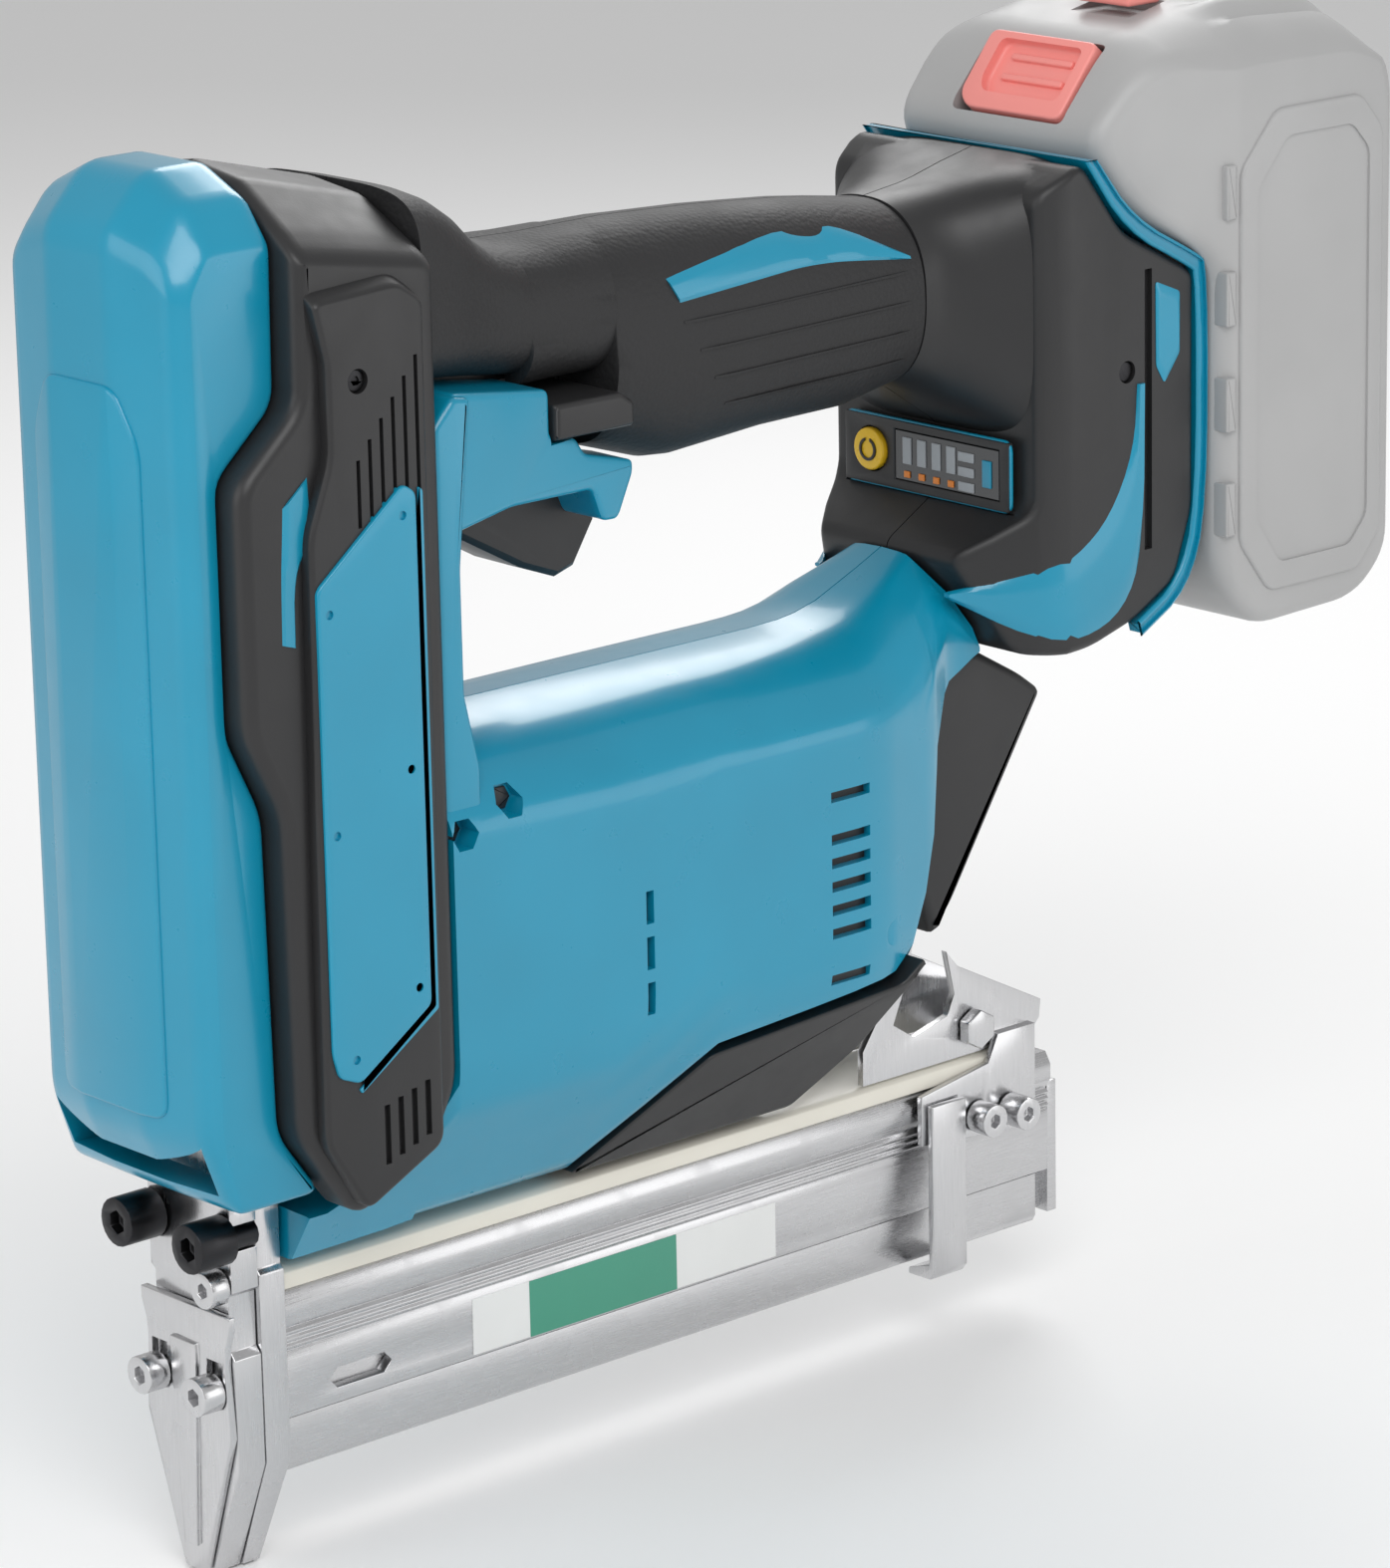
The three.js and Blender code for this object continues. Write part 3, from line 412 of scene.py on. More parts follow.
def band(name, inner, outer, half, edge, steps=4):
    """A profile along a path: rounded rectangles from the inner line to the outer one, across the width
    from y = -half to y = half."""
    inner, outer = eased(inner), eased(outer)
    wide = np.linalg.norm(outer - inner, axis=1, keepdims=True)
    roll = np.minimum(edge, 0.4 * wide)
    turn = np.linspace(0, math.pi / 2, steps)[None, :]
    over = roll / wide * (1 - np.sin(turn))
    up = half - roll * (1 - np.cos(turn))
    share = np.concatenate([1 - over, over[:, ::-1], over, 1 - over[:, ::-1]], 1)
    y = np.concatenate([up, up[:, ::-1], -up, -up[:, ::-1]], 1)
    place_at = inner[:, None] + (outer - inner)[:, None] * share[..., None]
    return skin(name, np.stack([place_at[..., 0], y, place_at[..., 1]], -1))


def ribbon(name, first, second, surface, lift, depth, across=7):
    """A thin strip between two lines that follows a side surface, its edges dropping into it."""
    first, second = eased(first), eased(second)
    share = np.linspace(0, 1, across)[None, :, None]
    flat = first[:, None] + (second - first)[:, None] * share
    x, z = flat[..., 0], flat[..., 1]
    y = surface(x, z)
    rim = np.where((share[..., 0] == 0) | (share[..., 0] == 1), 0.0, 1.0)
    front = np.stack([x, y - lift * rim, z], -1)
    back = np.stack([x, y + depth, z], -1)[:, ::-1]
    return skin(name, np.concatenate([front, back], 1))


def barrel(xs, low, high, half, power, steps=48):
    """Sections along X between a low and a high line: |y/half|^n + |z/height|^n = 1, n given by `power`."""
    angle = np.linspace(math.pi / 2, 3 * math.pi / 2, steps)[None, :]
    exponent = 2 / np.asarray(power, float)[:, None]
    cos, sin = np.cos(angle), np.sin(angle)
    y = np.asarray(half, float)[:, None] * np.sign(cos) * np.abs(cos) ** exponent
    middle = (np.asarray(high, float) + np.asarray(low, float))[:, None] / 2
    reach = (np.asarray(high, float) - np.asarray(low, float))[:, None] / 2
    z = middle + reach * np.sign(sin) * np.abs(sin) ** exponent
    x = np.broadcast_to(np.asarray(xs, float)[:, None], y.shape)
    return np.stack([x, np.minimum(y, -PART_GAP), z], -1)


def applied(piece):
    """Bakes a piece's modifiers into its mesh."""
    bpy.context.view_layer.update()
    depsgraph = bpy.context.evaluated_depsgraph_get()
    mesh = bpy.data.meshes.new_from_object(piece.evaluated_get(depsgraph))
    piece.modifiers.clear()
    piece.data = mesh
    return piece


def volume_of(piece):
    """A closed piece's volume in cubic metres; a surface with an open or doubled edge is refused."""
    shape = bmesh.new()
    shape.from_mesh(piece.data)
    volume = shape.calc_volume()
    broken = sum(len(edge.link_faces) != 2 for edge in shape.edges)
    shape.free()
    if broken:
        raise RuntimeError(f"{piece.name} has {broken} edges that don't join two faces")
    return volume


def combine(piece, others, operation):
    """Joins other solids to a piece or cuts them out of it, and removes them."""
    for other in others:
        before, added = volume_of(piece), volume_of(other)
        change = piece.modifiers.new("combine", "BOOLEAN")
        change.operation = operation
        change.solver = "MANIFOLD"
        change.object = other
        applied(piece)
        after = volume_of(piece)
        if operation == "UNION" and not max(before, added) * 0.999 <= after <= (before + added) * 1.001:
            raise RuntimeError(f"joining {other.name} to {piece.name} gave {after / MM**3:.0f} mm3")
        if operation == "DIFFERENCE" and not 0.02 * before <= after <= before * 1.002:
            raise RuntimeError(f"cutting {other.name} from {piece.name} left {after / MM**3:.0f} mm3")
        bpy.data.objects.remove(other)
    piece.data.shade_smooth()
    piece.data.set_sharp_from_angle(angle=SHARP_ANGLE)
    return piece


def cut(piece, others):
    return combine(piece, others, "DIFFERENCE")


def join(piece, others):
    return combine(piece, others, "UNION")


def other_side(name, piece):
    """A mirror image of a piece across the middle plane."""
    mesh = piece.data.copy()
    count = len(mesh.vertices)
    points = np.empty(count * 3)
    mesh.vertices.foreach_get("co", points)
    points.reshape(-1, 3)[:, 1] *= -1
    mesh.vertices.foreach_set("co", points)
    return tidy(name, mesh)


def place(piece, material, body, nodes=()):
    """Gives a piece its finish and its body, and hides the nodes that it stands for."""
    piece.data.materials.clear()
    piece.data.materials.append(material)
    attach(piece, body)
    if nodes:
        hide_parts(*nodes)
    return piece


def for_node(piece, node):
    return place(piece, LOOKS[SLOT_OF[node]], BODY_OF[node], [node])


def both_sides(left, name, body="tool", slot="blue_plastic", nodes=None):
    """Places a left-hand piece and its mirror image."""
    right = other_side("right_" + name, left)
    for side, piece in (("left", left), ("right", right)):
        stands_for = [f"{side}_{nodes}"] if nodes else []
        place(piece, LOOKS[slot], body, stands_for)


def softened(node, width, segments=2):
    """A copy of a node with its flat faces joined and its edges bevelled."""
    mesh = frame["nodes"][node].data.copy()
    shape = bmesh.new()
    shape.from_mesh(mesh)
    bmesh.ops.remove_doubles(shape, verts=shape.verts, dist=MERGE_DISTANCE)
    bmesh.ops.dissolve_limit(shape, angle_limit=math.radians(0.6), verts=shape.verts, edges=shape.edges)
    shape.to_mesh(mesh)
    shape.free()
    piece = bpy.data.objects.new(node + "_finished", mesh)
    bpy.context.scene.collection.objects.link(piece)
    bevel = piece.modifiers.new("edges", "BEVEL")
    bevel.width = width * MM
    bevel.segments = segments
    bevel.limit_method = "ANGLE"
    bevel.angle_limit = math.radians(38)
    applied(piece)
    piece.data.shade_smooth()
    piece.data.set_sharp_from_angle(angle=SHARP_ANGLE)
    return for_node(piece, node)


# Head ---

JOINT = [(7, 82), (-3, 96), (-4, 160), (-12, 177), (-12, 225), (2.5, 238), (3, 282)]
CROWN = ([0, 9, 20, 26.4, 27, 33, 36], [282, 282, 277, 268.5, 271, 265.5, 262])
NOSE_PLAN = ([0, 9, 24, 26.4], [-23, -23, -20, -17])
FLAG_FRONT = [(-3.2, 194), (-2.9, 207), (-2.5, 212), (-2, 220)]
FLAG_REAR = [(0, 193), (0.2, 207), (4.6, 213), (4, 225)]
HEAD_RAISED = [
    (10.5, 79.5), (30, 89), (31, 266), (25, 273), (4.5, 271), (7.5, 250), (7.5, 228), (2, 214), (1, 95),
]
GROOVE_X = [13.5 + 2.9 * i for i in range(6)]
RIB_X = [15 + 3.4 * i for i in range(4)]
PANEL = [(24, 221), (27, 219), (27, 118), (9, 106), (4, 108), (2.6, 113), (2.6, 204)]


def of_points(rule):
    """Lets a rule written for the arrays x, y and z be used on an array of points."""

    def limit(rings):
        return np.stack(rule(*np.moveaxis(rings, -1, 0)), -1)

    return limit


def squeezed(values, pivot, end, target):
    """Values past the pivot move in proportion to their distance from it, so that `end` lands on `target`."""
    share = (values - pivot) / (end - pivot)
    return np.where(share > 0, pivot + share * (target - pivot), values)


@of_points
def under_crown(x, y, z):
    """Lowers the top to the crown and draws the front back to the nose plan, by the distance from the
    middle."""
    x = squeezed(x, -12, -23, np.interp(np.abs(y), *NOSE_PLAN))
    return x, y, squeezed(z, 240, 282, np.interp(np.abs(y), *CROWN))


@of_points
def on_front(x, y, z):
    """Moves points back by as much as the front falls away from its middle."""
    return x + np.interp(np.abs(y), *NOSE_PLAN) + 23, y, z


@of_points
def below_crown(x, y, z):
    """Lowers the top of the head shells from the middle to their outer faces."""
    top = np.interp(np.abs(y), [0, 14, 27, 36], [281.6, 279.5, 271, 264])
    return x, y, squeezed(z, 240, 282, top)


class NAILER_OT_head(bpy.types.Operator):
    """Front cover, head shells, their inlays and the screwed-on side panels."""

    bl_idname = "nailer.head"
    bl_label = "Head"

    def execute(self, context):
        cover = pad(
            "front_cover_shell",
            [(-15, 82), *JOINT, (-13, 282), (-23, 271), (-23, 98)],
            -26.4, 26.4, 1.6, 4.0, middle=33, limit=under_crown,
        )
        cut(cover, [
            block("room", (-19.5, -23, 86), (30, 23, 264), 0),
            block("nose_way", (-9, -15, 60), (30, 15, 100), 0),
        ])
        for_node(cover, "front_cover")
        face = [(-16, 101), (16, 101), (16, 232), (10.5, 243), (-10.5, 243), (-16, 232)]
        raised_face = pad("front_raised_face", face, -23.7, -20.5, (0.6, 0), 3.5, "x", limit=on_front,
                          slices=[(1, -9), (1, 9)])
        place(raised_face, LOOKS["blue_plastic"], "tool")

        front = [(x + 0.3, z) for x, z in JOINT[1:]][::-1]
        shell = pad(
            "left_head_case",
            [(11, 77), (30, 86), (36.7, 99), (36.7, 273.5), *front],
            -33, -PART_GAP, (2.8, 0), 4.0, middle=24, limit=below_crown,
        )
        raised = pad("raised", HEAD_RAISED, -36, -20, (1.1, 0), 2.8, middle=8, limit=below_crown)
        join(shell, [raised])
        grooves = [
            block("groove", (x, OUTSIDE, 214 + 0.6 * i), (x + 0.9, -34.9, 227 + 3.6 * i), 0)
            for i, x in enumerate(GROOVE_X)
        ]
        ribs = [
            block("rib", (x, OUTSIDE, 88 + 1.2 * i), (x + 1.4, -34.8, 100 + 0.9 * i), 0)
            for i, x in enumerate(RIB_X)
        ]
        cut(shell, [
            block("room", (-40, -23.5, 60), (20, PAST_MIDDLE, 268), 0),
            block("gear_way", (15, -21.5, 108), (40, PAST_MIDDLE, 152), 0),
            disc("screw", "y", 2.4, OUTSIDE, -34.4, 14.5, 242),
            *grooves, *ribs,
        ])
        both_sides(shell, "head_case", slot="black_plastic", nodes="head_shell")

        flag = ribbon("left_flag_inlay", FLAG_FRONT, FLAG_REAR, lambda x, z: np.full_like(x, -33.0), 0.5, 0.8)
        both_sides(flag, "flag_inlay")
        plate = pad("left_side_plate", PANEL, -36.9, -35.3, (0.5, 0), 1.4)
        holes = [(23.5, 215), (5.2, 199), (23.7, 165.5), (5.2, 156), (24, 122), (8, 111)]
        cut(plate, [disc("hole", "y", 0.9, OUTSIDE, -36.3, x, z, sides=20) for x, z in holes])
        both_sides(plate, "side_plate", nodes="side_panel")
        line = [(27.9, 219.8), (29, 219), (29, 116.6), (9.5, 103.8), (8.9, 104.7), (27.9, 117.4)]
        both_sides(pad("left_panel_piping", line, -36.5, -35.5, (0.3, 0), 0.4), "panel_piping")
        recess = disc("left_head_screw", "y", 2.1, -35.2, -34.5, 14.5, 242, 0.2)
        cut(recess, [disc("socket", "y", 1.0, OUTSIDE, -34.8, 14.5, 242, sides=6)])
        both_sides(recess, "head_screw", slot="dark_steel")
        return {"FINISHED"}


# Housing ---

POD_WIDTH = ([64.6, 92, 100], [14, 31, 32.5])
POD_SHOULDER = ([0, 5.5, 14.5], [12, 24, 32.5])
POD_NARROWING = ([150, 172, 182, 193], [1, 0.80, 0.62, 0.57])
POD_UNDERSIDE = [
    (37, 64.7), (50, 64.7), (79, 64.7), (93, 75.5), (107, 87.3), (120, 88.4), (132, 89.4), (144, 90.5),
    (152, 91.2), (157, 91.6), (163, 96), (168, 106), (171.5, 118), (173.4, 132), (174, 137), (177, 143),
    (179, 147), (182, 148.8), (186, 150.7), (190, 152.7), (192.6, 153.8),
]
POD_X, POD_LOW = zip(*POD_UNDERSIDE)
SKIRT_X = [8, 12.5, 31, 37, 38]
SKIRT_TOP = [75.2, 75.2, 86, 99.3, 99.3]
POD_RIDGE = ([37, 150, 157, 163, 174, 182, 193], [164.5, 164.6, 165.5, 167, 171.6, 175.2, 175.5])
POD_END = ([182, 193], [175.2, 154])


def pod_rings(xs, low, high, ridge):
    """Half sections along X. The half width is the lesser of the one read from the height and the one read
    from the depth under the ridge, times the narrowing towards the arm's end."""
    share = np.linspace(0, 1, 60)[None, :]
    z = np.asarray(low)[:, None] + (np.asarray(high) - np.asarray(low))[:, None] * share
    under = np.asarray(ridge, float)[:, None] - z
    narrow = np.interp(xs, *POD_NARROWING)[:, None]
    y = -np.minimum(np.interp(z, *POD_WIDTH), np.interp(under, *POD_SHOULDER)) * narrow
    closing = np.full((len(xs), 1), -PART_GAP)
    y = np.concatenate([closing, y, closing], 1)
    z = np.concatenate([z[:, :1], z, z[:, -1:]], 1)
    x = np.broadcast_to(np.asarray(xs, float)[:, None], y.shape)
    return rounded_rings(np.stack([x, y, z], -1))


def rounded_rings(rings, passes=2):
    """Takes the edge off a half section: each inner point moves to the mean of itself and its neighbours."""
    for _ in range(passes):
        inner = (rings[:, :-2] + 2 * rings[:, 1:-1] + rings[:, 2:]) / 4
        rings = np.concatenate([rings[:, :1], inner, rings[:, -1:]], 1)
    return np.stack([rings[..., 0], np.minimum(rings[..., 1], -PART_GAP), rings[..., 2]], -1)


def narrowing(xs, halves):
    """A limit that scales each point's y by the half width at its X over the widest one."""

    @of_points
    def limit(x, y, z):
        return x, off_middle(y * np.interp(x, xs, halves) / max(halves), y), z

    return limit


def off_middle(y, before):
    """Leaves points on the parting plane where they were."""
    return np.where(np.abs(before) <= PART_GAP + 1e-6, before, y)


@of_points
def in_pod_width(x, y, z):
    """Scales y by the pod's half width at the height, over the cover's own."""
    return x, y * np.interp(z, *POD_WIDTH) / 31, z


class NAILER_OT_housing(bpy.types.Operator):
    """Motor housing halves with strip, trigger bracket, arm and vents, and the lower cover."""

    bl_idname = "nailer.housing"
    bl_label = "Motor housing"

    def execute(self, context):
        ridge = np.interp(POD_X, *POD_RIDGE)
        high = np.where(np.array(POD_X) > 182, np.interp(POD_X, *POD_END), ridge)
        pod = skin("left_housing_shell", pod_rings(POD_X, POD_LOW, high, ridge))
        skirt = skin("skirt", pod_rings(SKIRT_X, [64.6] * len(SKIRT_X), SKIRT_TOP, [164.5] * len(SKIRT_X)))
        strip = pad(
            "strip",
            [(37, 98), (37, 228), (42.5, 233.6), (47, 232.8), (43.6, 200), (43.6, 175), (47, 160), (47, 98)],
            -30, -PART_GAP, (1.6, 0), 1.2, middle=4,
        )
        bracket = pad(
            "bracket",
            [(43, 234), (72, 229.5), (72, 220), (80, 218.5), (83, 214.5), (98, 210.5), (98, 208),
             (93, 199.5), (88, 200), (85, 207), (60, 208.5), (43, 206.5)],
            -29.5, -10.5, (1.4, 0), 1.6, middle=6,
            limit=narrowing([40, 60, 100], [29.5, 26, 17.6]), slices=[(0, 60)],
        )
        join(pod, [skirt, strip, bracket])
        slots = [block("vent", (86, OUTSIDE, z - 3.4), (88, -28.5, z + 3.4), 0) for z in (123.5, 114, 104.5)]
        slots += [block("vent", (136.5, OUTSIDE, z - 1.1), (147.5, -28.5, z + 1.1), 0)
                  for z in (136, 127, 122, 117, 112, 107, 97)]
        cut(pod, [
            disc("gear_room", "x", 22.4, 30, 152, 0, 130),
            block("neck_room", (150, -12, 140), (178, 12, 160), 0),
            disc("nut", "y", 3.4, OUTSIDE, -27, 40.2, 148, sides=6),
            disc("nut", "y", 3.4, OUTSIDE, -27, 53, 152, sides=6),
            disc("screw", "y", 2.6, OUTSIDE, -31, 155, 103),
            block("lever_slot", (72, OUTSIDE, 218.4), (94.4, PAST_MIDDLE, 226.8), 0),
            *slots,
        ])
        both_sides(pod, "housing_shell", nodes="housing")
        # Black blocks at the floors of the blind vent slots: painted shade, so the slots look deep and dark
        # like open vents
        vent_shade_blocks = (
            ("front_vent_painted_shade", (84, -30.4, 99), (90, -28, 129)),
            ("rear_vent_painted_shade", (135, -30.4, 95), (149, -28, 138)),
        )
        for name, low, high in vent_shade_blocks:
            shade_sheet = block("left_" + name, low, high, 0)
            both_sides(shade_sheet, name, slot="black_plastic")
        for name, x, z in (("front_nut", 40.2, 148), ("rear_nut", 53, 152)):
            nut = disc("left_" + name, "y", 2.6, -27.6, -26.6, x, z, 0.2, 6)
            both_sides(nut, name, slot="black_plastic")

        cover = pad(
            "lower_cover_shell",
            [(80, 64.6), (107.4, 86.8), (158, 91), (164, 96), (160, 88), (153.5, 76), (141, 64.6)],
            -31, 31, 0.9, 1.6, middle=12,
            limit=in_pod_width, slices=[(2, 92)],
        )
        for_node(cover, "lower_cover")
        return {"FINISHED"}


# Grip ---

GRIP_X = [
    37.3, 43, 48, 54, 60, 66, 72.3, 72.7, 84, 94.2, 94.8, 99, 106, 112, 118, 130, 142, 154, 164, 172, 178
]
GRIP_TOP = (
    [37.3, 43, 48, 54, 60, 66, 72, 84, 106, 132, 157, 178],
    [273.2, 272, 270, 266.5, 261.4, 257.6, 256.3, 256, 256.2, 255, 253, 250],
)
GRIP_LOW = (
    [37.3, 43, 72.3, 72.7, 94.2, 94.8, 99, 112, 118, 142, 164, 178],
    [234.6, 234.4, 229.9, 227.1, 226.9, 212, 210.6, 206.5, 206, 207.8, 208.2, 211],
)
GRIP_HALF = ([37.3, 48, 58, 68, 90, 130, 178], [28, 25, 21, 18.8, 18, 18.6, 18.3])
GRIP_POWER = ([37.3, 60, 80, 110], [4.5, 3.4, 2.7, 2.3])


def grip_side(x, z):
    """The grip's left surface at a place: y of the section's curve |y/half|^n + |z/height|^n = 1."""
    low, high = np.interp(x, *GRIP_LOW), np.interp(x, *GRIP_TOP)
    share = np.clip(np.abs((z - (low + high) / 2) / ((high - low) / 2)), 0, 0.999)
    power = np.interp(x, *GRIP_POWER)
    return -np.interp(x, *GRIP_HALF) * (1 - share**power) ** (1 / power)


def inlay(name, outline, surface, lift, depth, corner=1.0, rings=8):
    """A thin piece that follows a side surface: rings shrink from the outline to its middle at one lift."""
    rim = fillet(outline, corner)
    middle = rim.mean(0)
    shares = np.linspace(1, 0.02, rings)
    flat = middle + (rim - middle)[None] * shares[:, None, None]
    x, z = flat[..., 0], flat[..., 1]
    y = surface(x, z)
    front = np.stack([x, y - lift, z], -1)
    front[0, :, 1] += lift * 0.7
    back = np.stack([x, y + depth, z], -1)[::-1]
    return skin(name, np.concatenate([front[::-1], back[::-1]], 0))


class NAILER_OT_grip(bpy.types.Operator):
    """Rubber grip halves with their blue accents and finger lines."""

    bl_idname = "nailer.grip"
    bl_label = "Grip"

    def execute(self, context):
        xs = np.array(GRIP_X)
        rings = barrel(xs, np.interp(xs, *GRIP_LOW), np.interp(xs, *GRIP_TOP),
                       np.interp(xs, *GRIP_HALF), np.interp(xs, *GRIP_POWER))
        grip = skin("left_grip_cover", rings)
        cut(grip, [
            block("switch_room", (47.5, -9.5, 200), (90, PAST_MIDDLE, 246), 0),
            block("lever_slot", (72, OUTSIDE, 218.4), (94.4, PAST_MIDDLE, 226.8), 0),
        ])
        both_sides(grip, "grip_cover", slot="grip_rubber", nodes="grip")
        upper = [(109, 245), (142, 250), (146, 248), (153, 247), (156, 249.5), (175, 240.4)]
        lower = [(111.5, 240), (140, 242), (146, 242.2), (153, 242), (158, 241.6), (175, 239.6)]
        both_sides(ribbon("left_grip_accent", upper, lower, grip_side, 0.5, 1.0), "grip_accent")
        for i in range(4):
            x, z = 112 + 4 * i, 236 - 6.2 * i
            line = [(x, z - 0.3), (174, z - 0.3 + 1.2), (174, z + 0.3 + 1.2), (x, z + 0.3)]
            name = f"grip_line_{i + 1}"
            ridge = inlay("left_" + name, line, grip_side, 0.35, 0.6, corner=0.2)
            both_sides(ridge, name, slot="grip_rubber")
        return {"FINISHED"}


# Base and control panel ---

TRIM_INNER = [
    (209.5, 257), (221.5, 240.8), (240, 231), (242.6, 229), (242.6, 178.6), (237.2, 163.6), (225, 157),
]
TRIM_OUTER = [(213, 257), (224, 243.3), (242.5, 233.6), (246, 231), (246, 178), (240, 161), (226, 153.5)]
PANEL_FACE = 195.05  # X of the control panel's front
LIGHT_BARS = 4
MODE_BARS = 3
BASE_PLAN = ([176, 183, 190, 198, 205], [18, 20, 25.5, 30.5, 33])


def base_side(x, z):
    """The base's left surface at a place; the height makes no difference."""
    return -np.interp(x, *BASE_PLAN)


class NAILER_OT_base(bpy.types.Operator):
    """Base halves that carry the battery, with trim band, swooshes, inserts and the strut."""

    bl_idname = "nailer.base"
    bl_label = "Base"

    def execute(self, context):
        inner = [(x - 0.3, z) for x, z in TRIM_INNER][::-1]
        front = [(198, 251), (198, 184.5), (182.6, 175.6), (193.6, 154.5), (203, 153), (212, 153.5)]
        block_side = [*front, *inner]
        base = pad("left_base_shell", block_side, -33, -PART_GAP, (1.8, 0), 3.4, middle=16,
                   limit=narrowing(*BASE_PLAN), slices=[(0, x) for x in BASE_PLAN[0]])
        xs = np.array([178.3, 181, 184, 188, 192, 196, 200, 204, 210])
        flare = skin("flare", barrel(
            xs,
            np.interp(xs, [178.3, 184, 190, 196, 202, 210], [211.3, 209, 205, 201, 196, 190]),
            np.interp(xs, [178.3, 190, 200, 210], [250.3, 251.8, 254.4, 256.6]),
            np.interp(xs, [178.3, 184, 190, 196, 202, 210], [18.4, 19.6, 23.5, 28.2, 31.6, 32.4]),
            np.interp(xs, [178.3, 190, 202], [2.4, 3.2, 5.5]),
        ))
        join(base, [flare])
        cut(base, [
            disc("screw", "y", 2.4, OUTSIDE, -31.6, 222, 211),
            block("seam", (227.2, OUTSIDE, 172), (229.4, -31.6, 232), 0),
            block("seat", (185, -25.3, 183.4), (197.2, PAST_MIDDLE, 199.4), 0),
            block("room", (200, -28, 170), (250, PAST_MIDDLE, 228), 0),
        ])
        both_sides(base, "base_shell", slot="black_plastic", nodes="base")
        screw = disc("left_base_screw", "y", 2.1, -32.4, -31.5, 222, 211, 0.2)
        both_sides(screw, "base_screw", slot="dark_steel")

        trim = band("rear_trim_band", TRIM_INNER, TRIM_OUTER, 33.8, 0.8)
        cut(trim, [block("inside", (225, -30, 100), (260, 30, 236), 0)])
        for_node(trim, "rear_trim")
        upper = [(182, 168.4), (196, 171.5), (207, 174), (217, 181), (224, 194), (225, 208)]
        lower = [(182, 167.6), (196, 158), (209, 155.8), (221, 160), (226.7, 172), (226.9, 208)]
        swoosh = ribbon("left_base_swoosh", upper, lower, base_side, 0.7, 0.8)
        both_sides(swoosh, "base_swoosh", nodes="swoosh")
        insert = [(230.4, 229), (237.6, 226), (237.6, 213), (233, 207), (230.6, 211)]
        both_sides(inlay("left_base_insert", insert, base_side, 0.5, 0.8, 0.8), "base_insert")

        strut = pad(
            "rear_strut_shell",
            [(193.4, 153.9), (207.8, 145.6), (214, 141), (187, 99.5), (181, 93), (174.5, 112), (174.4, 134.8),
             (179.4, 146.6)],
            -16, 16, context.scene.nailer_sizes.shell_edge, 2.0,
        )
        for_node(strut, "rear_strut")
        return {"FINISHED"}


def on_panel(name, low, high, look="light_bar", face=195.5, edge=0.15):
    """A mark on the control panel between two (y, z) corners."""
    mark = block(name, (PANEL_FACE, *low), (face, *high), edge, "x")
    place(mark, LOOKS[look], "tool")


class NAILER_OT_panel(bpy.types.Operator):
    """Control panel with its outline, light bars and battery symbol."""

    bl_idname = "nailer.panel"
    bl_label = "Control panel"

    def execute(self, context):
        softened("control_panel", 0.3)
        softened("power_button", 0.5, 3)
        outer = [(-25, 183.6), (25, 183.6), (25, 199.2), (-25, 199.2)]
        inner = [(-24.3, 184.3), (24.3, 184.3), (24.3, 198.5), (-24.3, 198.5)]
        rim = pad("panel_outline", outer, 195.6, 196.5, 0.3, 2.5, "x")
        cut(rim, [pad("inside", inner, 190, 200, 0, 2.2, "x")])
        place(rim, LOOKS["blue_plastic"], "tool")
        for i in range(LIGHT_BARS):
            y = 7 - 4.4 * i
            on_panel(f"light_bar_{i + 1}", (y - 2.6, 189.8), (y - 0.1, 195.6))
            on_panel(f"light_mark_{i + 1}", (y - 2.2, 186.9), (y - 0.5, 188.3), "mark_orange", 195.4, 0.1)
        for i in range(MODE_BARS):
            z = 194 - 3.2 * i
            on_panel(f"mode_bar_{i + 1}", (-14.4, z - 1), (-9.8, z + 1))
        on_panel("charge_symbol", (-19.6, 188.4), (-17, 194.2), "blue_plastic")
        power = disc("button_symbol", "x", 2.5, 193.85, 194.3, 16.5, 191.6, 0.1)
        cut(power, [
            disc("inside", "x", 1.9, 190, 200, 16.5, 191.6),
            block("gap", (190, 15.8, 192), (200, 17.2, 196), 0, "x"),
        ])
        place(power, LOOKS["black_plastic"], "power_button")
        return {"FINISHED"}


# Battery ---

BATTERY_PLAN = ([213, 225, 237, 250], [29.5, 31, 34, 37.5])
BATTERY_CATCHES = 4
RELEASE_RIBS = 2
SLANT_FOOT = np.array([217.0, 262.0])
SLANT_RUN = np.array([14.0, 17.0]) / math.hypot(14, 17)


@of_points
def crowned(x, y, z):
    """Narrows the front, domes the top and raises ribs across the rear of it."""
    y = y * np.interp(x, *BATTERY_PLAN) / max(BATTERY_PLAN[1])
    dome = 284.6 - 11 * np.clip((np.abs(y) - 18) / 19.5, 0, 1) ** 2
    rib = 1.1 * np.cos(2 * math.pi * y / 11) * np.clip((x - 252) / 8, 0, 1) * (np.abs(y) < 27)
    return x, y, squeezed(z, 268, 286, dome + rib - 1.1)


@of_points
def on_slant(inward, y, along):
    """Turns points given as (inward, y, along) onto the slanted front wall."""
    x = SLANT_FOOT[0] + SLANT_RUN[0] * along + SLANT_RUN[1] * inward
    z = SLANT_FOOT[1] + SLANT_RUN[1] * along - SLANT_RUN[0] * inward
    return x, y, z


